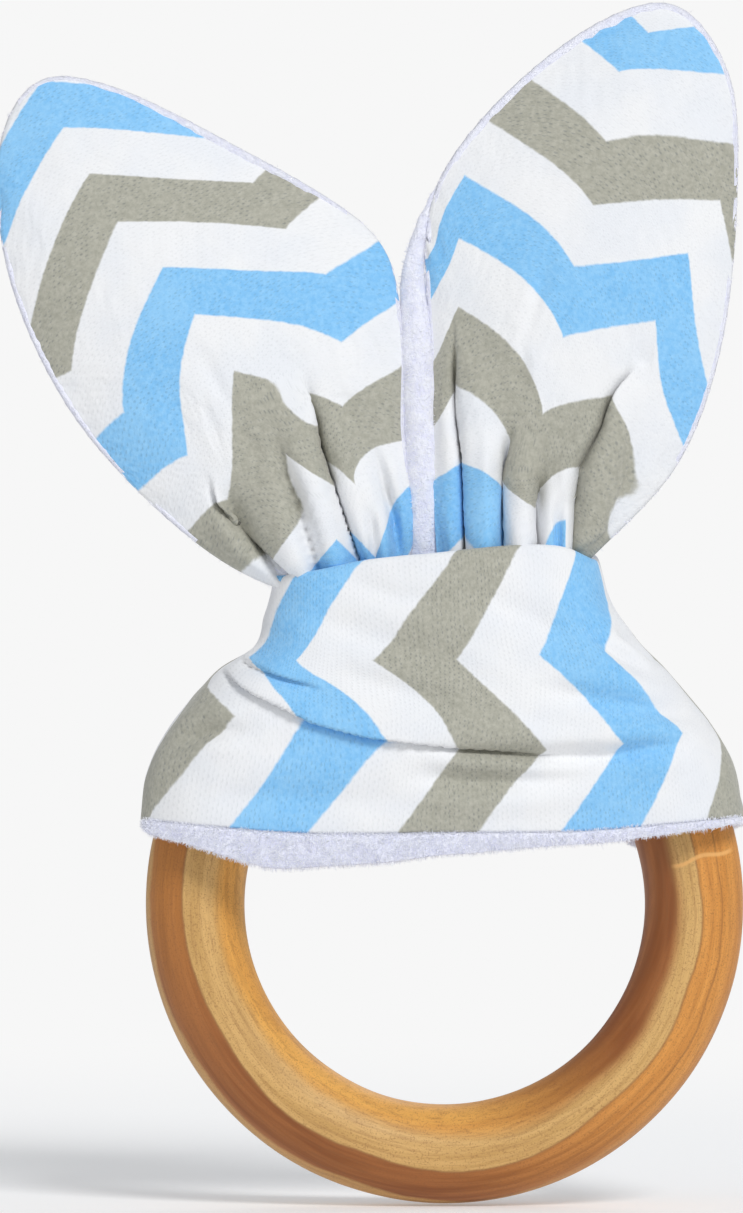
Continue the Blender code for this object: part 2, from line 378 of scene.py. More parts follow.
class Nodes:
    """A small helper that adds and links a material's shader nodes."""

    def __init__(self, name):
        self.material = bpy.data.materials.new(name)
        self.material.use_nodes = True
        self.tree = self.material.node_tree
        self.shader = self.tree.nodes["Principled BSDF"]

    def feed(self, socket, value):
        if isinstance(value, Wire):
            self.tree.links.new(value.socket, socket)
        else:
            socket.default_value = value

    def fill(self, node, **inputs):
        for key, value in inputs.items():
            self.feed(node.inputs[key.replace("_", " ")], value)

    def look(self, **inputs):
        """Sets the material's own inputs."""
        self.fill(self.shader, **inputs)
        return self.material

    def add(self, kind, output, settings=None, **inputs):
        """Adds a node and gives one of its outputs, or all of them as a list when output is None."""
        node = self.tree.nodes.new("ShaderNode" + kind)
        for key, value in (settings or {}).items():
            setattr(node, key, value)
        self.fill(node, **inputs)
        if output is None:
            return [Wire(self, socket) for socket in node.outputs]
        return Wire(self, node.outputs[output])

    def math(self, operation, first, second=None):
        node = self.tree.nodes.new("ShaderNodeMath")
        node.operation = operation
        self.feed(node.inputs[0], first)
        if second is not None:
            self.feed(node.inputs[1], second)
        return Wire(self, node.outputs[0])

    def mix(self, share, first, second):
        node = self.tree.nodes.new("ShaderNodeMix")
        node.data_type = "RGBA"
        # the sockets for the share and the two colours
        for index, value in ((0, share), (6, first), (7, second)):
            self.feed(node.inputs[index], value)
        return Wire(self, node.outputs[2])

    def step(self, value, low, high):
        smoothly = {"interpolation_type": "SMOOTHSTEP"}
        return self.add("MapRange", 0, smoothly, Value=value, From_Min=low, From_Max=high)

    def noise(self, vector, scale, detail=2.0, roughness=0.5):
        return self.add("TexNoise", "Fac", Scale=scale, Detail=detail, Roughness=roughness, Vector=vector)

    def place(self):
        """Object coordinates, in metres in the row frame."""
        return self.add("TexCoord", "Object")

    def bump(self, height, strength, distance, **normal):
        return self.add("Bump", "Normal", Strength=strength, Distance=distance, Height=height, **normal)


# The print's colours, each as a darker and a lighter shade
BLUE = (0.20, 0.51, 0.86, 1), (0.30, 0.61, 0.92, 1)
PALE_BLUE = (0.36, 0.66, 0.93, 1)
GRAY = (0.37, 0.365, 0.305, 1), (0.485, 0.475, 0.405, 1)
GROUND = (0.86, 0.865, 0.875, 1), (0.81, 0.83, 0.865, 1)
# Painted shade laid into the knit's pin holes
PIN_HOLE_SHADE = (0.08, 0.11, 0.14, 1)
# How unevenly the ink's edge runs and how soft it is, in stripes
INK_WOBBLE = 0.022
INK_EDGE = 0.012
# One loop of the knit, in mm
LOOP_WIDTH = 0.85
LOOP_HEIGHT = 0.60
# Half a period of the zigzag across the cloth, in mm
HALF_PERIOD = 16.5


def printed_knit(name, zigzag, stripe):
    """Knit cotton with the zigzag print. stripe is a coloured and a white stripe's length together, in mm."""
    n = Nodes(name)
    cloth_map = n.add("UVMap", "UV", {"uv_map": "cloth"})
    s, t, _ = n.add("SeparateXYZ", None, Vector=cloth_map)
    place = n.place()
    q = t - n.math("PINGPONG", s, 1.0) * zigzag + (n.noise(place, 1100.0) - 0.5) * INK_WOBBLE
    part = n.math("FRACT", q)
    inked = n.step(part, 0.0, 2 * INK_EDGE) * (1.0 - n.step(part, 0.5 - INK_EDGE, 0.5 + INK_EDGE))
    gray_turn = n.math("PINGPONG", n.math("FLOOR", q), 1.0)

    # Ink on knit sinks unevenly, in soft patches and loop by loop
    mottle = n.noise(place, 1500.0, 3.0, 0.65)
    patch = n.noise(place, 110.0, 3.0)
    blue = n.mix(n.step(mottle, 0.25, 0.78), *BLUE)
    blue = n.mix(n.step(patch, 0.4, 0.7) * 0.35, blue, PALE_BLUE)
    gray = n.mix(n.step(mottle, 0.25, 0.78), *GRAY)
    ground = n.mix(n.step(patch, 0.35, 0.7), *GROUND)
    colour = n.mix(inked, ground, n.mix(gray_turn, blue, gray))

    # The knit: rows of loops with a pin hole between each two, every other row shifted by half a loop
    along = t * (stripe / LOOP_HEIGHT)
    shift = n.math("PINGPONG", n.math("FLOOR", along), 1.0) * 0.5
    loop = n.add("CombineXYZ", 0, X=s * (HALF_PERIOD / LOOP_WIDTH) + shift, Y=along)
    flat = {"voronoi_dimensions": "2D"}
    hole = n.add("TexVoronoi", "Distance", flat, Scale=1.0, Randomness=0.25, Vector=loop)
    hole = 1.0 - n.step(hole, 0.10, 0.34)
    # the painted shade in the holes shows most on gray, less on blue and least on white
    strength = inked * (gray_turn * 0.14 + 0.13) + 0.06
    shown = n.step(n.noise(place, 600.0), 0.35, 0.6) * strength
    ribs = n.math("SINE", along * (2 * math.pi)) * 0.25
    knit = n.bump(ribs - hole, 0.35, 0.00009)
    return n.look(
        Base_Color=n.mix(hole * shown, colour, PIN_HOLE_SHADE),
        Roughness=mottle * 0.15 + 0.78,
        Sheen_Weight=0.2,
        Sheen_Roughness=0.5,
        Specular_IOR_Level=0.2,
        Normal=n.bump(n.noise(place, 3500.0, 3.0, 0.7), 0.22, 0.0001, Normal=knit),
    )


# Painted glow that the fleece and its pile give off, standing in for light passed on from fibre to fibre in
# the fleece
FLEECE_PAINTED_GLOW = (0.78, 0.82, 1.0, 1)
FLEECE = (0.80, 0.81, 0.95, 1), (0.90, 0.91, 1.0, 1)
PILE = (0.90, 0.91, 0.99, 1), (0.95, 0.96, 1.0, 1)
THREAD = (0.62, 0.62, 0.70, 1), (0.86, 0.86, 0.92, 1)


def fleece_material():
    n = Nodes("fleece")
    place = n.place()
    clump = n.noise(place, 700.0, 4.0, 0.6)
    tuft = n.noise(place, 3000.0, 3.0, 0.7)
    return n.look(
        Base_Color=n.mix(n.step(clump, 0.3, 0.7), *FLEECE),
        Roughness=0.95,
        Sheen_Weight=0.6,
        Sheen_Roughness=0.4,
        Specular_IOR_Level=0.1,
        Subsurface_Weight=0.15,
        Subsurface_Radius=(0.001, 0.001, 0.001),
        # painted glow, standing in for light scattered among the fibres
        Emission_Color=FLEECE_PAINTED_GLOW,
        Emission_Strength=0.07,
        Normal=n.bump(tuft, 0.8, 0.0004, Normal=n.bump(clump, 0.6, 0.0007)),
    )


def pile_material():
    """The fleece's fibres: pale lilac."""
    n = Nodes("pile")
    return n.look(
        Base_Color=n.mix(n.step(n.noise(n.place(), 900.0), 0.3, 0.7), *PILE),
        Roughness=0.85,
        Sheen_Weight=0.4,
        Specular_IOR_Level=0.1,
        # painted glow, standing in for light scattered among the fibres
        Emission_Color=FLEECE_PAINTED_GLOW,
        Emission_Strength=0.10,
    )


def thread_material():
    n = Nodes("thread")
    slant = {"bands_direction": "DIAGONAL"}
    twist = n.add("TexWave", "Fac", slant, Scale=900.0, Distortion=2.0, Vector=n.place())
    return n.look(Base_Color=n.mix(twist, *THREAD), Roughness=0.5, Normal=n.bump(twist, 0.5, 0.0001))


# The wood's colours, darker and lighter: an olive band round the ring's front, with honey or orange on one
# side of it and brown on the other. The brown is partly painted shade and the honey and orange partly painted
# light
OLIVE = (0.56, 0.33, 0.11, 1), (0.68, 0.42, 0.155, 1)
HONEY = (0.70, 0.33, 0.07, 1), (0.80, 0.42, 0.10, 1)
ORANGE = (0.60, 0.245, 0.05, 1), (0.74, 0.33, 0.075, 1)
BROWN = (0.25, 0.078, 0.020, 1), (0.38, 0.138, 0.040, 1)
GROWTH_LINE = (0.24, 0.095, 0.032, 1)
SCRATCH = ((28.4, 5.0), (36.9, 7.3))
SCRATCH_COLOUR = (0.86, 0.47, 0.16, 1)
# Where the olive band ends, and where a growth line lies beyond it: 0 is the section's middle, 1 its outside
OUTER_BORDER = 0.20
OUTER_LINE = 0.62


def maple_material():
    """Oiled maple. Its growth layers wrap the ring, brown outside at the left and inside at the right.
    The brown, on the sides facing left and down, is partly painted shade, and the orange and honey, facing
    right and up, partly painted light.
    """
    n = Nodes("maple")
    scale = (1 / MM,) * 3
    here = n.add("Mapping", 0, Vector=n.place(), Location=tuple(-RING_CENTRE / MM), Scale=scale)
    x, y, z = n.add("SeparateXYZ", None, Vector=here)
    reach = n.math("SQRT", x * x + z * z)
    outward = (reach - MAJOR) * (1 / SECTION)
    slow = (n.noise(here, 0.035, 1.0) - 0.5) * 0.75
    waver = (n.noise(here, 0.22, 3.0) - 0.5) * 0.09
    across = outward + (slow + waver)

    # fibres, pores and growth lines run round the ring
    cosine, sine = x / reach, z / reach
    fibre = n.noise(along_grain(n, cosine, sine, outward, y, 12.0, 42.0), 1.0, 3.0, 0.65)
    streak = n.noise(along_grain(n, cosine, sine, outward, y, 1.6, 5.0), 1.0, 3.0, 0.55)
    streak = n.step(streak, 0.32, 0.68)
    olive, orange, honey, brown = (n.mix(streak, *pair) for pair in (OLIVE, ORANGE, HONEY, BROWN))
    # the brown is paler up the left arm
    paler = n.step(z, -22.0, 8.0) * (1.0 - n.step(x, -20.0, 0.0))
    brown = n.mix(paler * 0.6, brown, ORANGE[0])
    # the colours change sides along a slanting line through the ring's middle, keeping the brown, partly
    # painted shade, on the sides facing left and down and the orange, partly painted light, on those facing
    # right and up
    right = n.step((x * 0.9 + z * 0.42) / reach, -0.55, 0.55)
    # at the right the brown inner side is wider, and the pale band narrower
    across = across + right * (0.02 - outward * 0.05)
    inner_side = 1.0 - n.step(across - right * 0.26, -0.66, -0.36)
    outer_side = n.step(across, OUTER_BORDER - 0.03, OUTER_BORDER + 0.03)
    colour = n.mix(inner_side, olive, n.mix(right, honey, brown))
    colour = n.mix(outer_side, colour, n.mix(right, brown, orange))
    rim = n.step(across, 0.84, 0.92) * (1.0 - right)
    colour = n.mix(rim * 0.7, colour, OLIVE[1])
    border = 1.0 - n.step(n.math("ABSOLUTE", across - OUTER_BORDER), 0.0, 0.045)
    outer_line = 1.0 - n.step(n.math("ABSOLUTE", across - OUTER_LINE), 0.0, 0.035)
    lines = n.math("SINE", across * 34.0)
    lines_seen = n.step(lines, 0.3, 1.0) * n.step(n.noise(here, 0.10), 0.35, 0.7)
    drawn = n.math("MAXIMUM", border * 0.55, lines_seen * 0.26)
    drawn = n.math("MAXIMUM", drawn, outer_line * right * 0.5)
    colour = n.mix(drawn, colour, GROWTH_LINE)
    colour = n.mix(n.step(fibre, 0.46, 0.74) * 0.33, colour, GROWTH_LINE)
    pores = n.noise(here, 4.5, 2.0, 0.6)
    colour = n.mix(n.step(pores, 0.52, 0.68) * 0.42, colour, GROWTH_LINE)
    scratch = scratch_mask(n, x, y, z)
    dented = n.bump(scratch, -0.6, 0.0002, Normal=n.bump(fibre, 0.25, 0.00008))
    return n.look(
        Base_Color=n.mix(scratch * 0.75, colour, SCRATCH_COLOUR),
        Roughness=fibre * 0.25 + 0.38,
        Specular_IOR_Level=0.30,
        Coat_Weight=0.06,
        Coat_Roughness=0.4,
        Normal=n.bump(lines, 0.10, 0.00005, Normal=dented),
    )


def along_grain(n, cosine, sine, outward, y, round_scale, across_scale):
    """A place for noise that is drawn out round the ring and fine across it, with no join at any angle."""
    depth = y * (1 / SECTION)
    radial = (outward + depth * 0.6) * across_scale
    return n.add("CombineXYZ", 0, X=cosine * round_scale, Y=radial, Z=sine * round_scale + depth * 3.0)


def scratch_mask(n, x, y, z):
    """A pale wavering scratch across the front of the right arm."""
    (x0, z0), (x1, z1) = SCRATCH
    length = math.hypot(x1 - x0, z1 - z0)
    ux, uz = (x1 - x0) / length, (z1 - z0) / length
    dx, dz = x - x0, z - z0
    along = dx * ux + dz * uz
    wave = n.math("SINE", along * 1.1) * 0.25
    off = n.math("ABSOLUTE", (dz * ux - dx * uz) + wave)
    line = 1.0 - n.step(off, 0.08, 0.42)
    ends = n.step(along, 0.0, 1.2) * (1.0 - n.step(along, length - 1.2, length))
    front = 1.0 - n.step(y, -1.0, 0.0)
    return line * ends * front


# ---------------------------------------------------------------- the ring


RING_POINTS = (256, 64)
SANDING_WAVES = 0.06


def make_ring(looks):
    """A lathe-turned, hand-sanded ring: a torus with the slight waviness that sanding leaves."""
    turns = (np.linspace(0, 360, count, endpoint=False) for count in RING_POINTS)
    a, b = np.meshgrid(*turns, indexing="ij")
    base = ring_point(a, b, 1.0)
    waves = value_noise(base[..., 0], base[..., 1] * 8, base[..., 2], 3, 9.0)
    points = ring_point(a, b, SECTION - 0.05 + SANDING_WAVES * waves)
    faces = quads(np.pad(numbered(*RING_POINTS), ((0, 1), (0, 1)), mode="wrap"))
    ring = new_piece("turned_ring", points.reshape(-1, 3), faces, looks["maple"])
    fasten(ring, "ring", "wood", "wood_ring")


# ---------------------------------------------------------------- the band and the wraps

# Heights of the printed band's edges, and its outline at the sides, in the ring's frame
BAND_BOTTOM = ((-39, 11.0), (-28, 9.6), (-10, 9.5), (10, 9.6), (26, 9.9), (38, 11.2))
BAND_TOP = ((-22, 41.4), (-11, 42.9), (0, 44.0), (9, 44.9), (17, 45.4), (20, 43.6))
LEFT_SIDE = (
    (0.00, 38.7), (0.22, 37.3), (0.42, 34.3), (0.54, 31.2), (0.64, 28.2), (0.71, 24.8), (0.84, 22.8),
    (1.00, 21.6),
)
RIGHT_SIDE = (
    (0.00, 38.0), (0.22, 36.8), (0.42, 33.6), (0.58, 28.8), (0.72, 24.6), (0.86, 21.2), (1.00, 19.6),
)
LEFT_SIDE_HEIGHT = (
    (0.00, 10.9), (0.22, 18.0), (0.42, 23.4), (0.54, 27.4), (0.64, 30.2), (0.71, 32.2), (0.84, 36.6),
    (1.00, 41.2),
)
RIGHT_SIDE_HEIGHT = (
    (0.00, 11.2), (0.22, 17.2), (0.42, 23.2), (0.58, 29.2), (0.72, 33.6), (0.86, 38.6), (1.00, 43.4),
)
BACK_FIRST_ANGLE, BACK_LAST_ANGLE = 13.0, 58.0
BAND_ROWS, BAND_COLUMNS = 110, 360


def wrap_knots(v, side):
    """Knots of one side of the band's path, from inside the hole round the back to the outer side."""
    angle = BACK_FIRST_ANGLE + v * (BACK_LAST_ANGLE - BACK_FIRST_ANGLE)
    skin = PRINT_SKIN + 0.15
    turns = ((205, 13), (165, 9), (130, 3), (92, 0.5))
    knots = [ring_point(angle + rise, section, skin, side) for section, rise in turns]
    knots.append(ring_point(angle + 1.5, 52, skin + 0.5, side))
    outline, height = (LEFT_SIDE, LEFT_SIDE_HEIGHT) if side < 0 else (RIGHT_SIDE, RIGHT_SIDE_HEIGHT)
    x, z = side * through(v, outline), through(v, height)
    knots.append(np.stack([x * 0.995, np.full_like(x, 4.2), z - 0.3], -1))
    knots.append(np.stack([x, np.full_like(x, -1.2), z], -1))
    knots.append(np.stack([x * 0.965, np.full_like(x, -6.6) - 1.2 * v, z], -1))
    return knots


def band_path(v):
    """Knots of the whole band at height share v: left wrap, front, right wrap."""
    left, right = wrap_knots(v, -1), wrap_knots(v, 1)
    front = []
    for share in (-0.80, -0.45, 0.0, 0.45, 0.80):
        side = through(v, LEFT_SIDE) if share < 0 else through(v, RIGHT_SIDE)
        x = share * side if share else (through(v, RIGHT_SIDE) - through(v, LEFT_SIDE)) / 2 * 0.3
        low, high = through(x, BAND_BOTTOM), through(x, BAND_TOP)
        z = low + v * (high - low)
        if abs(share) > 0.5:
            edge_height = through(v, LEFT_SIDE_HEIGHT if share < 0 else RIGHT_SIDE_HEIGHT)
            z = 0.45 * edge_height + 0.55 * z
        depth = 9.6 + 3.4 * math.cos(share * math.pi / 2) + 1.0 * v + 0.8 * np.sin(v * math.pi)
        front.append(np.stack([x, -depth, z], -1))
    return left + front + right[::-1]


# Where the zigzag lies on the band: (s, t, x, z). Its left-pointing corners lie at s = 0, the right-pointing
# ones at -1
BAND_CORNERS = (
    (0.81, 0.46, -18.7, 42.6), (0.81, 0.96, -11.2, 43.0), (0.81, 1.46, 0.2, 43.4),
    (0.81, 1.96, 8.3, 43.9), (0.84, 2.48, 16.8, 44.9), (0.50, 2.285, 14.2, 38.6),
    (0.50, 2.785, 20.7, 38.6), (0.84, 2.98, 19.0, 45.0), (0.40, 0.23, -21.6, 37.0),
    (0.40, 0.73, -15.0, 37.2), (0.40, 1.23, -4.6, 37.2), (0.40, 1.73, 5.0, 37.2),
    (0.0, 0.0, -24.1, 31.3), (0.0, 0.5, -18.8, 31.0), (0.0, 1.0, -9.4, 31.0),
    (0.0, 1.5, 1.4, 31.2), (0.0, 2.0, 11.6, 31.8), (0.0, 2.5, 20.2, 32.4),
    (0.0, 3.0, 27.8, 31.0), (-0.72, 0.0, -28.2, 27.6), (-0.9, 0.45, -20.4, 26.6),
    (-0.95, 0.80, -14.0, 25.0), (-1.0, 0.07, -26.4, 24.0), (-1.03, 0.57, -17.4, 23.4),
    (-1.0, 1.07, -6.4, 21.6), (-1.0, 1.57, 2.0, 20.6), (-1.0, 2.07, 12.8, 20.0),
    (-1.0, 2.57, 22.1, 20.6), (-1.0, 3.07, 29.9, 22.0), (-1.0, 3.57, 35.2, 21.6),
    (-1.36, -0.14, -33.0, 17.0), (-1.36, 0.36, -22.4, 16.8), (-1.36, 0.86, -11.8, 16.2),
    (-1.36, 1.36, -1.8, 15.6), (-1.36, 1.86, 8.4, 15.4), (-1.36, 2.36, 18.4, 15.4),
    (-1.36, 2.86, 27.4, 15.8), (-1.36, 3.36, 34.4, 16.0), (-1.72, -0.335, -38.0, 10.8),
    (-1.72, 0.165, -27.5, 9.9), (-1.72, 0.665, -17.0, 9.7), (-1.72, 1.165, -6.0, 9.6),
    (-1.72, 1.665, 4.4, 9.7), (-1.72, 2.165, 14.7, 9.8), (-1.72, 2.665, 24.6, 9.9),
    (-1.72, 3.165, 32.6, 10.4),
)

FOLD_STRENGTH = 1.35
# Soft valleys in the band's front: (points, half width, depth)
BAND_VALLEYS = (
    (((-3.0, 21.2), (5.0, 20.2), (12.4, 19.2), (21.0, 19.2), (30.0, 20.6)), 1.1, 1.15),
    (((-4.0, 16.6), (3.0, 15.8), (12.0, 16.2), (24.0, 17.4)), 1.3, 0.75),
    (((12.0, 27.6), (19.0, 26.2), (28.0, 24.8), (33.0, 24.0)), 1.3, 0.60),
    (((16.5, 36.5), (21.0, 32.6), (26.0, 29.4)), 1.0, 0.55),
    (((21.6, 35.0), (24.6, 33.0), (27.4, 30.9)), 0.6, 0.90),
    (((-34.5, 20.4), (-30.0, 22.4), (-25.0, 22.2)), 1.1, 0.70),
    (((-30.0, 14.0), (-18.0, 13.6), (-4.0, 13.2)), 1.8, 0.35),
    (((-19.0, 37.5), (-10.0, 34.0), (0.0, 31.0), (8.0, 26.5)), 1.8, 0.38),
    (((2.0, 40.5), (10.0, 37.0), (17.0, 33.5)), 1.6, 0.35),
    (((-14.0, 30.0), (-6.0, 27.5), (2.0, 25.0)), 1.5, 0.40),
    (((-12.0, 41.0), (-6.0, 39.0), (2.0, 38.6)), 1.2, 0.25),
)
# Lips where one layer lies over the next: (points, how far it stands out, pocket depth, overhang,
# where along the line it starts, is full, starts to fade and ends, and the print's jump in stripes)
BAND_LIPS = (
    (
        (
            (-29.0, 30.6), (-23.9, 27.6), (-16.6, 24.1), (-9.9, 22.3), (-1.5, 21.3), (5.0, 20.5),
            (12.0, 19.4), (18.0, 19.0),
        ),
        1.05, 1.45, 1.25, (0.0, 0.10, 0.60, 0.98), 0.0,
    ),
    (
        ((-25.8, 31.6), (-21.5, 29.8), (-17.4, 28.4), (-13.6, 26.6)),
        0.50, 1.00, 0.7, (0.0, 0.10, 0.35, 1.0), 0.0,
    ),
)


def valleys_in(x, z, valleys):
    """How far soft valleys press into a front, with a low swell along both sides of each."""
    change = np.zeros_like(x)
    for points, width, depth in valleys:
        away, along, _ = polyline_distance(x, z, points)
        fade = np.sin(np.clip(along, 0.02, 0.98) * math.pi) ** 0.6
        change += depth * fade * bell(away, width)
        change -= 0.40 * depth * fade * bell(away - 2.1 * width, 1.2 * width)
    return change


# How far from its line a lip still swells, its pocket still dips, the cloth still slides and the print still
# jumps, in mm
LIP_WIDTH, POCKET_WIDTH, SLIDE_WIDTH, JUMP_WIDTH = 2.6, 0.9, 1.8, 5.0


def lips_in(x, z, lips):
    """Overlapping folds. The cloth on a line's left lies over the cloth on its right.

    Gives how far each point goes in, how far it shifts in x and z, and how far the print jumps.
    """
    change, shift_x, shift_z, jump = (np.zeros_like(x) for _ in range(4))
    for points, out, pocket, overhang, (low, full, last, end), print_jump in lips:
        away, along, side = polyline_distance(x, z, points)
        fade = smooth(along, low, full) * (1 - smooth(along, last, end))
        signed = away * side
        over, below = np.maximum(signed, 0), np.minimum(signed, 0)
        upper = smooth(signed, -0.35, 0.25)
        change -= fade * upper * out * bell(over, LIP_WIDTH)
        change += fade * (1 - upper) * pocket * bell(below, POCKET_WIDTH)
        slide = fade * upper * overhang * bell(over, SLIDE_WIDTH)
        line = unit(np.array(points[-1]) - np.array(points[0]))
        shift_x += line[1] * slide
        shift_z -= line[0] * slide
        jump += print_jump * fade * upper * bell(over, JUMP_WIDTH)
    return change, shift_x, shift_z, jump


def normals_of(points):
    """Unit normals of a grid of points, (rows, columns, 3)."""
    return unit(np.cross(np.gradient(points, axis=1), np.gradient(points, axis=0)))


def folded(skin):
    """The band with its folds pressed in, and the smoother skin that the fleece under it follows."""
    outward = normals_of(skin)
    x, y, z = np.moveaxis(skin, -1, 0)
    front = smooth(-y, 3.0, 7.5)
    lip_press, shift_x, shift_z, _ = (part * front for part in lips_in(x, z, BAND_LIPS))
    soft_press = front * FOLD_STRENGTH * valleys_in(x, z, BAND_VALLEYS)
    press = lip_press + soft_press
    ripple = 0.16 * value_noise(x, y * 0.6, z * 1.4, 11, 6.5) + 0.07 * value_noise(x, y, z, 12, 2.6)
    # the fleece follows the soft folds only, and passes behind the pockets under the lips
    pocket = np.maximum(lip_press, 0)
    pocket = pocket + 0.3 * smooth(pocket, 0.0, 0.3)
    under = off_the_wood(skin - outward * (soft_press + ripple + pocket)[..., None], PRINT_SKIN)
    skin = skin - outward * (press + ripple)[..., None]
    skin = skin + np.stack([shift_x, 0 * shift_x, shift_z], -1)
    return off_the_wood(skin, PRINT_SKIN), under


# How far forward the cloth is where the front's map of the print ends
PRINT_TURNS_AT = 7.0


def band_print(flat, skin):
    """Where each point of the band lies on the cloth. Round the sides t follows the path's own length."""
    x, y, z = np.moveaxis(flat, -1, 0)
    s, t = thin_plate(BAND_CORNERS, x, z)
    step = np.linalg.norm(np.diff(skin, axis=1), axis=-1)
    length = np.concatenate([np.zeros((BAND_ROWS, 1)), np.cumsum(step, axis=1)], axis=1)
    rows = np.arange(BAND_ROWS)
    for side in (-1, 1):
        column = np.argmin(np.where(side * x > 0, np.abs(y + PRINT_TURNS_AT), 1e9), axis=1)
        past = length - length[rows, column][:, None]
        t = np.where(side * past > 0, t[rows, column][:, None] + past / BAND_STRIPE, t)
        s = np.where(side * past > 0, s[rows, column][:, None], s)
    return s, t


# The band's top edge rolls over this radius for a share of its rows, then hangs down into the mouth, in mm
ROLL_ROWS, ROLL_RADIUS, ROLL_SHARE, ROLL_HANG = 14, 0.85, 0.6, 3.2
ROLL_STRIPES = 0.35


def rolled_edge(skin, turn):
    rise = unit(skin[-1] - skin[-4])[None]
    angle = np.minimum(turn / ROLL_SHARE, 1) * math.pi
    down = np.maximum(turn - ROLL_SHARE, 0) / (1 - ROLL_SHARE) * ROLL_HANG
    up = (np.sin(angle) * ROLL_RADIUS - down)[:, None, None]
    inward = (ROLL_RADIUS * (1 - np.cos(angle)))[:, None, None]
    roll = skin[-1][None] + rise * up - normals_of(skin)[-1][None] * inward
    return off_the_wood(roll, PRINT_SKIN - 0.3)


def make_band(looks):
    flat = path_through(np.array(band_path(np.linspace(0, 1, BAND_ROWS))), BAND_COLUMNS)
    flat = off_the_wood(flat.transpose(1, 0, 2), PRINT_SKIN)
    skin, under = folded(flat)
    s, t = band_print(flat, skin)
    turn = np.linspace(0, 1, ROLL_ROWS + 1)[1:]
    grid = np.concatenate([skin, rolled_edge(skin, turn)], axis=0)
    s_all = np.concatenate([s, s[-1][None] + turn[:, None] * ROLL_STRIPES], axis=0)
    t_all = np.concatenate([t, np.repeat(t[-1][None], ROLL_ROWS, 0)], axis=0)
    band = new_piece(
        "scarf_band_print",
        grid.reshape(-1, 3),
        quads(numbered(len(grid), BAND_COLUMNS)),
        looks["band_print"],
        np.stack([s_all, t_all], -1).reshape(-1, 2),
    )
    add_solidify(band, PRINT_THICKNESS)
    fasten(band, "scarf", "print", "band_print", "left_wrap_print", "right_wrap_print")
    return under, {side: (skin[:, end], s[:, end], t[:, end]) for side, end in ((-1, 0), (1, -1))}


# How far the fleece reaches below the print along the band's front, by x
FLEECE_DROP = (
    (-39, 1.2), (-32, 2.6), (-24, 4.6), (-14, 4.3), (0, 3.0), (14, 1.9), (24, 1.6), (34, 1.1), (39, 0.9),
)


LIP_ROWS = 14


def make_band_lining(skin, looks):
    """The fleece inside the band. It reaches past the print as a soft lip below the front."""
    outward = normals_of(skin)[::2, ::2]
    inner = off_the_wood(skin[::2, ::2] - outward * (PRINT_THICKNESS + 0.10), LINING_SKIN)
    edge, out_edge = inner[0], outward[0]
    fall = unit(inner[0] - inner[2])
    in_front = smooth(-edge[:, 1], 2, 7)
    drop = 0.7 + (through(edge[:, 0], FLEECE_DROP) - 0.7) * in_front
    drop = drop + 0.25 * value_noise(edge[:, 0], edge[:, 1], 0 * drop, 24, 3.5) * in_front
    share = np.linspace(1, 0, LIP_ROWS, endpoint=False)[:, None]
    bulge = (0.78 * smooth(share, 0.0, 0.06) + 0.20 * np.sin(share * math.pi * 0.85)) * in_front[None]
    rim = edge[None] + fall[None] * (share * drop[None])[..., None] + out_edge[None] * bulge[..., None]
    grid = np.concatenate([rim, inner], axis=0)
    normal = normals_of(grid)
    fuzz = 0.12 * value_noise(*np.moveaxis(grid, -1, 0), 21, 1.1)
    fuzz += 0.07 * value_noise(*np.moveaxis(grid, -1, 0), 22, 0.5)
    fuzz[LIP_ROWS:] = np.minimum(fuzz[LIP_ROWS:], 0)
    grid = off_the_wood(grid + normal * fuzz[..., None], LINING_SKIN)
    faces = quads(numbered(*grid.shape[:2]))
    lining = new_piece("scarf_band_lining", grid.reshape(-1, 3), faces, looks["fleece"])
    add_solidify(lining, FLEECE_THICKNESS)
    add_subdivision(lining)
    fasten(lining, "scarf", "fleece", "band_lining", "left_wrap_lining", "right_wrap_lining")

    # pile on the part of the lip that shows, and on its lower edge
    shown = np.nonzero(grid[0, :, 1] < -2.0)[0]
    window = slice(0, LIP_ROWS + 1), slice(shown[0], shown[-1])
    lip, lip_normal = grid[window], normal[window]
    edge_strip = np.stack([lip[0], lip[0] - lip_normal[0] * FLEECE_THICKNESS])
    edge_normal = np.repeat((lip[:1] - lip[1:2]), 2, axis=0)
    for part, spots, way, count in (
        ("front", lip, lip_normal, 9000),
        ("edge", edge_strip, edge_normal, 2600),
    ):
        pile = make_pile(f"scarf_band_pile_{part}", spots, way, count, 51 + count, looks)
        fasten(pile, "scarf", "fleece")


# ---------------------------------------------------------------- fleece pile

PILE_LENGTH = 0.5
PILE_RADIUS = 0.042


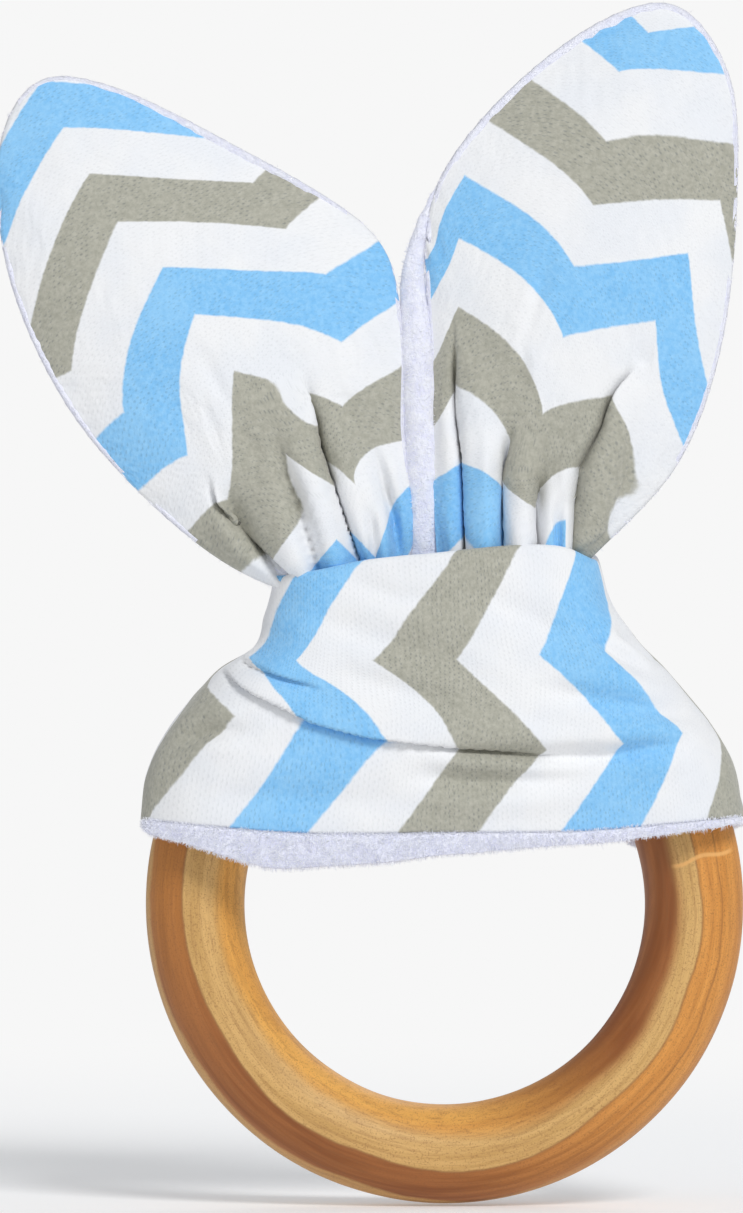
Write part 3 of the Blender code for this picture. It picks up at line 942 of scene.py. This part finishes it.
def make_pile(name, points, outward, count, seed, looks, length=PILE_LENGTH):
    """Short soft fibres standing on a grid of points: three-sided, bent once, tapering to a tip."""
    draw = np.random.RandomState(seed)
    across, along = np.diff(points, axis=1)[:-1], np.diff(points, axis=0)[:, :-1]
    area = np.linalg.norm(np.cross(across, along), axis=-1)
    cell = draw.choice(area.size, count, p=area.ravel() / area.sum())
    row, column = np.unravel_index(cell, area.shape)
    a, b = draw.rand(count, 1), draw.rand(count, 1)

    def on_grid(values):
        low = values[row, column] * (1 - b) + values[row, column + 1] * b
        high = values[row + 1, column] * (1 - b) + values[row + 1, column + 1] * b
        return low * (1 - a) + high * a

    root, normal = on_grid(points), unit(on_grid(outward))
    clump = np.stack([value_noise(*root.T, seed + k, 1.4) for k in (1, 2, 3)], -1)
    lean = draw.normal(0, 0.45, (count, 3)) + 0.9 * clump
    lean = lean - (lean * normal).sum(1, keepdims=True) * normal
    tall = length * (0.55 + 0.75 * draw.rand(count, 1))
    middle = root + normal * tall * 0.55 + lean * tall * 0.30
    tip = root + normal * tall * 0.85 + lean * tall * 0.85
    side = unit(np.cross(normal, draw.normal(0, 1, (count, 3))))
    other = np.cross(normal, side)
    turn = np.radians((0, 120, 240))
    ring = side[:, None] * np.cos(turn)[None, :, None] + other[:, None] * np.sin(turn)[None, :, None]
    low = root[:, None] - normal[:, None] * 0.08 + ring * PILE_RADIUS
    mid = middle[:, None] + ring * PILE_RADIUS * 0.75
    fibres = np.concatenate([low, mid, tip[:, None]], axis=1)
    # each fibre's points: 0 to 2 at its root, 3 to 5 at its middle, 6 at its tip
    fibre = ((0, 1, 4, 3), (1, 2, 5, 4), (2, 0, 3, 5), (3, 4, 6), (4, 5, 6), (5, 3, 6), (2, 1, 0))
    base = np.arange(count)[:, None] * 7
    faces = [face for corners in fibre for face in (base + np.array(corners)).tolist()]
    return new_piece(name, fibres.reshape(-1, 3), faces, looks["pile"])


# ---------------------------------------------------------------- ears

# Corner points of the zigzag on each ear: (s, t, x, z). Peaks point to the tip and lie at even s.
LEFT_CORNERS = (
    (0.0, 0.5, -48.2, 98.4), (0.0, 1.0, -45.0, 92.7), (0.0, 1.5, -41.4, 86.4), (0.0, 2.0, -35.7, 80.8),
    (0.0, 2.5, -31.6, 74.7), (0.0, 3.0, -26.8, 67.7), (0.0, 3.5, -21.7, 59.4), (0.0, 4.0, -14.7, 50.0),
    (1.0, 1.7, -24.4, 91.7), (1.0, 2.2, -20.2, 85.6), (1.0, 2.7, -15.2, 80.1), (1.0, 3.2, -13.2, 71.2),
    (1.0, 3.7, -13.2, 63.4), (1.0, 4.2, -11.9, 53.7), (1.0, 4.7, -8.9, 44.3),
    (-1.0, 1.7, -52.8, 73.4), (-1.0, 2.2, -47.4, 67.6), (-1.0, 2.7, -40.9, 62.5), (-1.0, 3.2, -32.5, 57.0),
    (-1.0, 3.7, -27.4, 52.0), (-1.0, 4.2, -21.1, 44.8),
    (1.32, 2.48, -9.7, 83.3), (1.44, 2.89, -6.0, 76.3), (1.46, 3.38, -5.6, 68.4), (1.44, 3.89, -5.0, 58.8),
    (-1.26, 2.52, -44.5, 59.0), (-1.38, 2.93, -38.6, 52.7), (-1.34, 3.46, -32.5, 47.6),
    (-1.25, 4.02, -25.5, 42.4), (-0.77, 1.04, -55.4, 85.0), (0.95, 1.16, -28.1, 97.2),
)
RIGHT_CORNERS = (
    (1.0, 1.2, 21.9, 105.6), (1.0, 1.7, 20.4, 96.7), (1.0, 2.2, 18.7, 88.5), (1.0, 2.7, 16.3, 80.9),
    (1.0, 3.2, 14.9, 71.8), (1.0, 3.7, 12.4, 62.6), (1.0, 4.2, 10.3, 53.5),
    (0.0, 2.0, 2.4, 92.6), (0.0, 2.5, 1.5, 84.6), (0.0, 3.0, 1.5, 76.0), (0.0, 3.5, 1.6, 66.2),
    (0.0, 4.0, 2.6, 56.6), (0.0, 4.5, 3.0, 47.5),
    (2.0, 1.5, 34.8, 89.2), (2.0, 2.0, 30.8, 82.7), (2.0, 2.5, 26.4, 73.9), (2.0, 3.0, 22.2, 64.8),
    (2.0, 3.5, 17.5, 55.6), (2.25, 3.175, 23.8, 58.8), (2.5, 3.35, 25.8, 51.8), (2.25, 3.675, 16.4, 51.0),
    (2.5, 3.85, 17.0, 46.0), (0.42, 4.294, 6.8, 53.8), (1.3, 4.49, 12.6, 50.0), (1.0, 4.7, 9.8, 44.8),
    (0.42, 0.79, 17.1, 109.7), (0.45, 1.31, 11.3, 104.6), (0.30, 1.71, 5.9, 99.1),
    (1.70, 0.71, 36.2, 105.2), (1.80, 1.14, 36.7, 96.6), (-0.45, 2.315, -1.4, 83.7),
    (-0.35, 3.24, -1.4, 69.6), (-0.35, 3.745, -1.4, 60.7), (-0.3, 4.21, -2.1, 53.7),
    (2.75, 3.02, 30.3, 58.2),
)
# Each ear's outline, from its neck up one edge, round the tip and back down to the neck
LEFT_OUTLINE = (
    (-4, 46), (-5, 60), (-5.5, 75), (-10, 86), (-28, 97), (-43, 104), (-52, 104), (-56.5, 95),
    (-55, 79), (-47, 62), (-34, 48), (-22, 40.5), (-9, 38.5),
)
RIGHT_OUTLINE = (
    (19, 44.5), (29.5, 56), (35, 71), (37, 90), (36, 105), (29, 114), (18, 111), (5, 100), (-2, 88),
    (-2, 70), (-1.5, 50), (1, 39.5), (12, 38.5),
)
EAR_CELLS = 72
EAR_MIDDLE_HEIGHT = 63.0
EAR_DEPTH = -7.2
EAR_LAYERS_APART = 1.3

# The flat pattern's sizes in mm: half a zigzag across the cloth, and a coloured and a white stripe along it
PATTERN_ACROSS = 16.5
PATTERN_ALONG = 17.0


def thin_plate(corners, x, z):
    """Cloth coordinates (s, t) at points (x, z): a thin plate bent through the zigzag's corners."""
    known = np.array(corners)
    places, values = known[:, 2:], known[:, :2]

    def bend(distance_squared):
        return 0.5 * distance_squared * np.log(distance_squared + 1e-9)

    count = len(known)
    gaps = ((places[:, None] - places[None]) ** 2).sum(-1)
    system = np.zeros((count + 3, count + 3))
    system[:count, :count] = bend(gaps) + np.eye(count) * 4.0
    system[:count, count] = 1
    system[:count, count + 1 :] = places
    system[count:, :count] = system[:count, count:].T
    right = np.zeros((count + 3, 2))
    right[:count] = values
    weights = np.linalg.solve(system, right)
    flat = np.stack([np.ravel(x), np.ravel(z)], -1)
    gaps = ((flat[:, None] - places[None]) ** 2).sum(-1)
    found = bend(gaps) @ weights[:count] + weights[count] + flat @ weights[count + 1 :]
    return found[:, 0].reshape(np.shape(x)), found[:, 1].reshape(np.shape(x))


def closed_curve(points, count):
    """count points on a closed smooth curve through the given ones."""
    knots = np.array(points)
    at = np.arange(count) * len(knots) / count
    index, t = at.astype(int), (at % 1)[:, None]
    before, start, end, after = (knots[(index + k) % len(knots)] for k in (-1, 0, 1, 2))
    return 0.5 * (
        2 * start
        + (end - before) * t
        + (2 * before - 5 * start + 4 * end - after) * t**2
        + (3 * start - before - 3 * end + after) * t**3
    )


class Ear:
    """One ear's flat shape: a disc of cells stretched over its outline."""

    def __init__(self, outline):
        self.rim = closed_curve(outline, 600)
        # cells are finest about the middle, which is set low, where the cloth is gathered
        self.middle = self.rim.mean(axis=0)
        self.middle[1] = EAR_MIDDLE_HEIGHT
        away = self.rim - self.middle
        self.angles = np.arctan2(away[:, 1], away[:, 0])
        self.radii = np.hypot(away[:, 0], away[:, 1])
        self.order = np.argsort(self.angles)
        side = np.linspace(-1, 1, EAR_CELLS + 1)
        b, a = np.meshgrid(side, side, indexing="ij")
        disc_x, disc_z = a * np.sqrt(1 - b * b / 2), b * np.sqrt(1 - a * a / 2)
        self.share = np.minimum(np.hypot(disc_x, disc_z), 1)
        self.angle = np.arctan2(disc_z, disc_x)

    def reach(self, angle):
        return np.interp(angle, self.angles[self.order], self.radii[self.order], period=2 * math.pi)

    def flat(self, grow=1.0):
        reach = self.share * self.reach(self.angle) * grow
        return self.middle[0] + reach * np.cos(self.angle), self.middle[1] + reach * np.sin(self.angle)


# Gathered folds in each ear: (points from the fading top down to the mouth, half width, depth)
LEFT_PLEATS = (
    (((-17.8, 66.5), (-16.2, 58.0), (-13.8, 50.0), (-11.2, 42.0)), 1.6, 2.6),
    (((-28.6, 54.5), (-24.6, 47.6), (-20.4, 42.0)), 1.6, 2.6),
    (((-9.6, 60.0), (-6.6, 50.0), (-5.4, 42.0)), 1.1, 1.9),
    (((-22.0, 60.4), (-18.8, 52.0), (-15.8, 42.0)), 1.3, 1.9),
    (((-9.8, 51.0), (-9.0, 47.0), (-8.6, 42.0)), 1.0, 1.4),
    (((-33.0, 73.0), (-27.5, 64.0), (-24.0, 57.0)), 2.2, 0.6),
    (((-12.5, 78.0), (-12.0, 70.0), (-12.5, 62.0)), 2.0, 0.6),
)
RIGHT_PLEATS = (
    (((22.6, 67.0), (20.4, 60.0), (17.4, 55.0), (16.6, 42.0)), 1.3, 3.0),
    (((1.0, 74.0), (1.9, 63.0), (2.8, 55.0), (3.0, 42.0)), 1.2, 2.6),
    (((8.2, 62.0), (7.6, 54.0), (7.8, 42.0)), 1.2, 2.2),
    (((11.8, 57.5), (11.1, 50.0), (11.3, 42.0)), 1.0, 1.9),
    (((14.6, 54.0), (14.2, 48.0), (14.0, 42.0)), 0.9, 1.4),
    (((14.0, 86.0), (11.5, 76.0), (9.5, 67.0)), 2.4, 0.7),
    (((28.5, 84.0), (26.5, 76.0), (25.0, 69.0)), 2.4, 0.7),
)
# Pleats whose one side lies over the other, told as the band's lips are
FADES_UP = (-2.0, -1.0, 0.60, 1.0)
FADES_FROM_TOP = (0.0, 0.40, 2.0, 3.0)
LEFT_LIPS = (
    (
        ((-11.0, 42.0), (-13.8, 49.8), (-16.4, 57.5), (-17.6, 64.4), (-18.4, 68.0)),
        0.9, 2.0, 1.1, FADES_UP, -0.30,
    ),
    (((-30.0, 55.0), (-28.4, 51.2), (-24.5, 47.2), (-20.0, 43.0)), 0.7, 1.8, 0.8, FADES_FROM_TOP, 0.0),
)
RIGHT_LIPS = (
    (
        ((24.0, 68.4), (22.5, 64.9), (20.4, 60.1), (17.3, 55.4), (16.5, 51.0), (17.2, 42.0)),
        1.1, 2.6, 1.3, (0.0, 0.22, 2, 3), 0.0,
    ),
    (
        ((0.9, 76.0), (1.7, 69.0), (1.9, 62.0), (3.0, 56.0), (3.3, 48.0), (3.4, 42.0)),
        0.6, 1.7, 0.8, FADES_FROM_TOP, 0.0,
    ),
    (((8.8, 61.0), (7.7, 54.5), (7.8, 48.0), (8.0, 42.0)), 0.6, 1.6, 0.8, FADES_FROM_TOP, -0.34),
    (((11.4, 42.0), (11.2, 46.0), (11.0, 50.5), (12.4, 57.0)), 0.5, 1.5, 0.6, FADES_UP, -0.10),
)

# The right ear's inner edge turns over and shows its fleece: (height, left side, right side)
TURNED_EDGE = (
    (40.0, -4.4, -0.6), (46.0, -4.6, -0.8), (51.0, -4.8, -0.6), (56.0, -5.1, -0.3), (62.0, -5.6, -0.6),
    (68.0, -5.7, -1.0), (74.0, -5.7, -1.7), (79.0, -5.6, -2.6), (84.0, -4.5, -2.4), (89.0, -2.6, -1.2),
    (93.0, -0.4, 0.6),
)


def make_turned_edge(looks):
    """The roll of fleece along the right ear's inner edge, tapering to its tip."""
    knots = np.array(TURNED_EDGE)
    rows, around = 90, 28
    height = np.linspace(knots[0, 0], knots[-1, 0], rows)[:, None]
    low = through(height, knots[:, :2])
    high = through(height, knots[:, [0, 2]])
    half = (high - low) / 2 * (1 - smooth(height, 84.0, 92.0) * 0.6)
    turn = np.linspace(0, 2 * math.pi, around, endpoint=False)[None]
    x = (low + high) / 2 + half * np.cos(turn)
    z = height + 0 * x
    depth = half * 0.95
    y = EAR_DEPTH + 1.0 - 0.6 * smooth(height, 60, 88) + depth * np.sin(turn)
    fuzz = 0.14 * value_noise(x, y, z, 41, 1.3) + 0.07 * value_noise(x, y, z, 42, 0.55)
    grid = np.stack([x + fuzz * np.cos(turn), y + fuzz * np.sin(turn), z], -1)
    faces = tube_faces(rows, around)
    roll = new_piece("right_ear_turned_edge", grid.reshape(-1, 3), faces, looks["fleece"])
    fasten(roll, "right", "fleece")
    out = np.stack([np.cos(turn) + 0 * x, np.sin(turn) + 0 * x, 0 * x], -1)
    pile = make_pile("right_ear_turned_edge_pile", grid, out, 2600, 61, looks, 0.42)
    fasten(pile, "right", "fleece")


def blend_ear(piece):
    """Bakes the place of an ear's piece into its mesh."""
    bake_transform(piece)


def pleat_depth(x, z, pleats):
    """How deep the gathered folds press into an ear's front."""
    change = np.zeros_like(x)
    for points, width, depth in pleats:
        away, along, _ = polyline_distance(x, z, points)
        fade = smooth(along, 0.0, 0.45)
        change += depth * fade * bell(away, 0.55 * width)
        change -= 0.42 * depth * fade * bell(away - 1.9 * width, 1.1 * width)
    return change


def ear_bag():
    """A two-layer bag on the ear's cells: each layer's point numbers, the shared rim and the faces."""
    side = EAR_CELLS + 1
    front = numbered(side, side)
    rim = np.ones((side, side), bool)
    rim[1:-1, 1:-1] = False
    back = np.where(rim, front, 0)
    back[~rim] = side * side + np.arange((~rim).sum())
    return front, back, rim, np.concatenate([quads(front), quads(back)[:, [0, 3, 2, 1]]])


def relaxed_ear(name, ear, corners, pleats):
    """The ear's two layers as grids of points: a crown and pleats, then softened by the cloth simulation."""
    x, z = ear.flat()
    share = ear.share
    crown = 0.5 + 3.0 * (1 - share**2.2) + 1.5 * smooth(52 - z, 0, 10) * (1 - share**4)
    folds = pleat_depth(x, z, pleats) * (1 - smooth(share, 0.90, 1.0))
    drift = 0.55 * value_noise(x, z, 0 * x, 31 + len(name), 10.0) * (1 - share**4)
    s, t = thin_plate(corners, x, z)
    front, back, rim, faces = ear_bag()
    y_front = np.where(rim, EAR_DEPTH, EAR_DEPTH - crown + folds + drift)
    y_back = EAR_DEPTH + crown * 0.9 + 0.35 * drift - 0.4 * folds
    inner = ~rim
    layers = np.stack([x, y_front, z], -1), np.stack([x, y_back, z], -1)
    points = np.concatenate([layers[0].reshape(-1, 3), layers[1][inner]])
    pattern = np.stack([s * PATTERN_ACROSS, 0 * s, -t * PATTERN_ALONG], -1)
    rest = np.concatenate([pattern.reshape(-1, 3), pattern[inner]])
    hold = np.maximum(np.where(rim, 1.0, 0.0), smooth(43.5 - z, 0, 3.0))
    hold = np.concatenate([hold.reshape(-1), hold[inner]])
    points = relax_cloth(points, faces, rest, hold)
    return points[front], points[back]


def refined(grid):
    """A grid of values with a smooth one added between each two, both ways."""
    for _ in range(2):
        ends = 2 * grid[:1] - grid[1:2], 2 * grid[-1:] - grid[-2:-1]
        padded = np.concatenate([ends[0], grid, ends[1]])
        finer = np.empty((2 * len(grid) - 1,) + grid.shape[1:])
        finer[::2] = grid
        finer[1::2] = (9 * (padded[1:-2] + padded[2:-1]) - padded[:-3] - padded[3:]) / 16
        grid = finer.swapaxes(0, 1)
    return grid


def make_ear(name, ear, corners, pleats, lips, looks):
    front, back = (refined(layer) for layer in relaxed_ear(name, ear, corners, pleats))
    share = refined(ear.share)
    flat_x, flat_z = (refined(part) for part in ear.flat())
    s, t = thin_plate(corners, flat_x, flat_z)
    press, shift_x, shift_z, jump = lips_in(flat_x, flat_z, lips)
    inside = 1 - smooth(share, 0.90, 0.99)
    weave = 0.10 * value_noise(flat_x, flat_z, 0 * s, 37 + len(name), 4.0)
    front = front + np.stack([shift_x, press + weave, shift_z], -1) * inside[..., None]
    # no fold goes through to the fleece
    room = np.minimum(EAR_LAYERS_APART, 6.0 * (1 - share))
    front[..., 1] = np.minimum(front[..., 1], back[..., 1] - room)
    t = t + jump * inside
    uv = np.stack([s, t], -1).reshape(-1, 2)
    cells = quads(numbered(*front.shape[:2]))
    cloth = new_piece(f"{name}_ear_print_cloth", front.reshape(-1, 3), cells, looks["ear_print"], uv)
    lining = new_piece(f"{name}_ear_lining_cloth", back.reshape(-1, 3), cells[:, ::-1], looks["fleece"], uv)
    pile = make_pile(f"{name}_ear_pile", back, -normals_of(back), 11000, 71 + len(name), looks)
    add_solidify(cloth, PRINT_THICKNESS)
    add_solidify(lining, FLEECE_THICKNESS * 0.6)
    thread = make_seam_thread(name, ear, looks)
    fasten(cloth, name, "print", f"{name}_ear_print", f"{name}_neck_print")
    fasten(lining, name, "fleece", f"{name}_ear_lining", f"{name}_neck_lining")
    fasten(pile, name, "fleece")
    fasten(thread, name, "thread", f"{name}_ear_seam_thread")


THREAD_RADIUS = 0.11
THREAD_SIDES = 6
STITCH_LENGTH = 2.4
# Below this height the ear is gathered and its seam is hidden in the mouth
SEAM_LOWEST = 46.0


def make_seam_thread(name, ear, looks):
    """The thread in the seam round an ear, dipping in and out of the edge at each stitch."""
    rim = closed_curve(ear.rim[::20], 1400)
    rim = rim[rim[:, 1] > SEAM_LOWEST]
    split = np.argmax(np.linalg.norm(np.diff(rim, axis=0), axis=1)) + 1
    rim = np.roll(rim, -split, axis=0)
    along = unit(np.gradient(rim, axis=0))
    outward = np.stack([along[:, 1], -along[:, 0]], -1)
    if (outward * (rim - ear.middle)).sum() < 0:
        outward = -outward
    length = np.concatenate([[0], np.cumsum(np.linalg.norm(np.diff(rim, axis=0), axis=1))])
    stitch = length / STITCH_LENGTH * 2 * math.pi
    centre = rim + outward * (0.06 * np.cos(stitch)[:, None] - 0.12)
    turn = np.linspace(0, 2 * math.pi, THREAD_SIDES, endpoint=False)[None]
    x = centre[:, :1] + outward[:, :1] * THREAD_RADIUS * np.cos(turn)
    z = centre[:, 1:] + outward[:, 1:] * THREAD_RADIUS * np.cos(turn)
    y = EAR_DEPTH + 0.1 * np.sin(stitch)[:, None] + THREAD_RADIUS * np.sin(turn)
    points = np.stack([x, y, z], -1).reshape(-1, 3)
    faces = tube_faces(len(rim), THREAD_SIDES)
    return new_piece(f"{name}_ear_seam_stitching", points, faces, looks["thread"])


# ---------------------------------------------------------------- legs in the hole


LEG_COLUMNS, LEG_ROWS = 96, 60
LEG_PLEATS, LEG_PLEAT_DEPTH = 5.5, 0.75
# Round the ring's section, in degrees (180 faces the hole, 270 the front), and how far on to the neck,
# from 0 to 1
LEG_TURNS = ((224, 0.18), (250, 0.56), (272, 0.88))
LEG_END = (-7.6, 41.8)
NECK_WIDTH = 19.5


def leg_sheet(edge, side, neck_x):
    """The cloth from a wrap's edge in the hole, round the ring's inner front and up to the neck."""
    u = np.linspace(0, 1, LEG_COLUMNS)
    start = np.stack([np.interp(u, np.linspace(0, 1, len(edge)), edge[:, axis]) for axis in range(3)], -1)
    # round the ring it starts where the wrap's path has come to
    first = BACK_FIRST_ANGLE + 13 + u * (BACK_LAST_ANGLE - BACK_FIRST_ANGLE)
    end_x = neck_x + (0.5 - u) * side * NECK_WIDTH
    last = np.degrees(np.arctan2(LEG_END[1], side * end_x))
    knots = [start]
    for section, share in LEG_TURNS:
        away = PRINT_SKIN + 0.15 + 0.6 * math.sin(math.pi * share)
        knots.append(ring_point(first + (last - first) * share, section, away, side))
    knots.append(np.stack([end_x, LEG_END[0] + 0 * u, LEG_END[1] + 0 * u], -1))
    sheet = path_through(np.stack(knots, 0), LEG_ROWS)
    v = np.linspace(0, 1, LEG_ROWS)[:, None]
    outward = normals_of(sheet) * -side
    pleat = 0.6 + np.sin(u[None] * 2 * math.pi * LEG_PLEATS + 0.8 * np.sin(u[None] * 5))
    pleat = pleat * smooth(v, 0.05, 0.5) * (1 - 0.8 * smooth(v, 0.80, 1.0))
    return sheet + outward * (LEG_PLEAT_DEPTH * pleat)[..., None], outward


# Each layer's look and slot, its depth under the sheet, and its least distance from the section's centre
LEG_LAYERS = (
    ("print", "band_print", "print", 0.0, PRINT_SKIN - 0.1),
    ("lining", "fleece", "fleece", 0.75, LINING_SKIN - 0.4),
)


def make_leg(name, edge, side, neck_x, looks):
    edge_points, edge_s, edge_t = edge
    sheet, outward = leg_sheet(edge_points, side, neck_x)
    # the print runs on from the wrap's
    step = np.linalg.norm(np.diff(sheet, axis=0), axis=-1).mean(axis=1)
    length = np.concatenate([[0], np.cumsum(step)])[:, None]
    at = np.linspace(0, len(edge_s) - 1, LEG_COLUMNS)
    rows = np.arange(len(edge_s))
    s, t = np.interp(at, rows, edge_s)[None], np.interp(at, rows, edge_t)[None]
    uv = np.stack(np.broadcast_arrays(s + 0 * length, t + side * length / BAND_STRIPE), -1)
    faces = quads(numbered(LEG_ROWS, LEG_COLUMNS))
    for layer, look, slot, inward, least in LEG_LAYERS:
        points = off_the_wood(sheet - outward * inward, least).reshape(-1, 3)
        piece = new_piece(f"{name}_leg_{layer}_cloth", points, faces, looks[look], uv.reshape(-1, 2))
        add_solidify(piece, PRINT_THICKNESS, 0.0)
        fasten(piece, "scarf", slot, f"{name}_leg_{layer}")


# ---------------------------------------------------------------- stage


BACKDROP = (0.93, 0.93, 0.93, 1)


def make_world():
    """Soft light from all round. The camera sees the surroundings plain and pale."""
    world = bpy.data.worlds.new("studio")
    bpy.context.scene.world = world
    world.use_nodes = True
    tree = world.node_tree
    soft = tree.nodes["Background"]
    soft.inputs["Color"].default_value = (0.93, 0.96, 1.0, 1)
    soft.inputs["Strength"].default_value = 0.38
    seen = tree.nodes.new("ShaderNodeBackground")
    seen.inputs["Color"].default_value = BACKDROP
    seen.inputs["Strength"].default_value = 1.0
    ray = tree.nodes.new("ShaderNodeLightPath")
    mix = tree.nodes.new("ShaderNodeMixShader")
    tree.links.new(ray.outputs["Is Camera Ray"], mix.inputs[0])
    tree.links.new(soft.outputs[0], mix.inputs[1])
    tree.links.new(seen.outputs[0], mix.inputs[2])
    tree.links.new(mix.outputs[0], tree.nodes["World Output"].inputs["Surface"])


def make_stage():
    bpy.ops.mesh.primitive_circle_add(vertices=96, radius=4.0, fill_type="NGON")
    floor = bpy.context.active_object
    floor.name = "floor"
    floor.location = (0, 0, -0.0002)
    n = Nodes("pale_floor")
    place = n.place()
    n.look(
        Base_Color=n.mix(n.noise(place, 6.0), (0.80, 0.80, 0.80, 1), (0.82, 0.82, 0.82, 1)),
        Roughness=0.9,
        Emission_Color=(0.93, 0.93, 0.93, 1),
        Emission_Strength=0.22,
    )
    # away from the toy the floor runs into the backdrop, with no horizon
    far = n.add("Emission", 0, Color=BACKDROP, Strength=1.0)
    distance = n.add("VectorMath", "Value", {"operation": "LENGTH"}, Vector=place)
    mix = n.tree.nodes.new("ShaderNodeMixShader")
    for index, value in enumerate((n.step(distance, 0.12, 0.45), Wire(n, n.shader.outputs[0]), far)):
        n.feed(mix.inputs[index], value)
    n.feed(n.tree.nodes["Material Output"].inputs["Surface"], Wire(n, mix.outputs[0]))
    floor.data.materials.append(n.material)

    make_world()
    middle = Vector((0, 0, (CAD_BOX[0].z + CAD_BOX[1].z) / 2))
    make_light("key", "SUN", (0.34, -0.74, 0.74), middle, 1.75, 0.36)
    make_light("fill", "AREA", (-1.6, -1.9, 0.7), middle, 4.0, 1.5)
    make_light("rim", "AREA", (0.6, 2.0, 1.4), middle, 10.0, 1.5)


def make_light(name, kind, place, target, power, size):
    """size is an area light's width in metres, or how wide the sun looks in radians."""
    light = bpy.data.lights.new(name, kind)
    light.energy = power
    if kind == "SUN":
        light.angle = size
    else:
        light.size = size
    lamp = bpy.data.objects.new(name, light)
    bpy.context.scene.collection.objects.link(lamp)
    lamp.location = place
    lamp.rotation_euler = (target - lamp.location).to_track_quat("-Z", "Y").to_euler()


# The camera's distance, the height that its frame takes in, and where it aims from the ring's centre, in m
CAMERA_DISTANCE = 1.2
FRAME_HEIGHT = 0.154
AIM = (-0.0093, -0.003, 0.0379)


def make_camera():
    """Straight on from the front, framed as in the photograph."""
    data = bpy.data.cameras.new("camera")
    camera = bpy.data.objects.new("camera", data)
    bpy.context.scene.collection.objects.link(camera)
    data.sensor_width = 36
    data.lens = data.sensor_width * CAMERA_DISTANCE / FRAME_HEIGHT
    camera.location = RING_CENTRE + np.array(AIM) - np.array((0, CAMERA_DISTANCE, 0))
    camera.rotation_euler = (math.pi / 2, 0, 0)
    bpy.context.scene.camera = camera
    bpy.context.scene.view_settings.view_transform = "Standard"


def main():
    looks = {
        "maple": maple_material(),
        "fleece": fleece_material(),
        "pile": pile_material(),
        "thread": thread_material(),
        "ear_print": printed_knit("printed_knit_ear", ZIGZAG_EAR, EAR_STRIPE),
        "band_print": printed_knit("printed_knit_band", ZIGZAG_BAND, BAND_STRIPE),
    }
    make_ring(looks)
    under, edges = make_band(looks)
    make_band_lining(under, looks)
    make_leg("left", edges[-1], -1, -11.5, looks)
    make_leg("right", edges[1], 1, 7.5, looks)
    make_ear("left", Ear(LEFT_OUTLINE), LEFT_CORNERS, LEFT_PLEATS, LEFT_LIPS, looks)
    make_ear("right", Ear(RIGHT_OUTLINE), RIGHT_CORNERS, RIGHT_PLEATS, RIGHT_LIPS, looks)
    make_turned_edge(looks)
    make_stage()
    make_camera()


main()
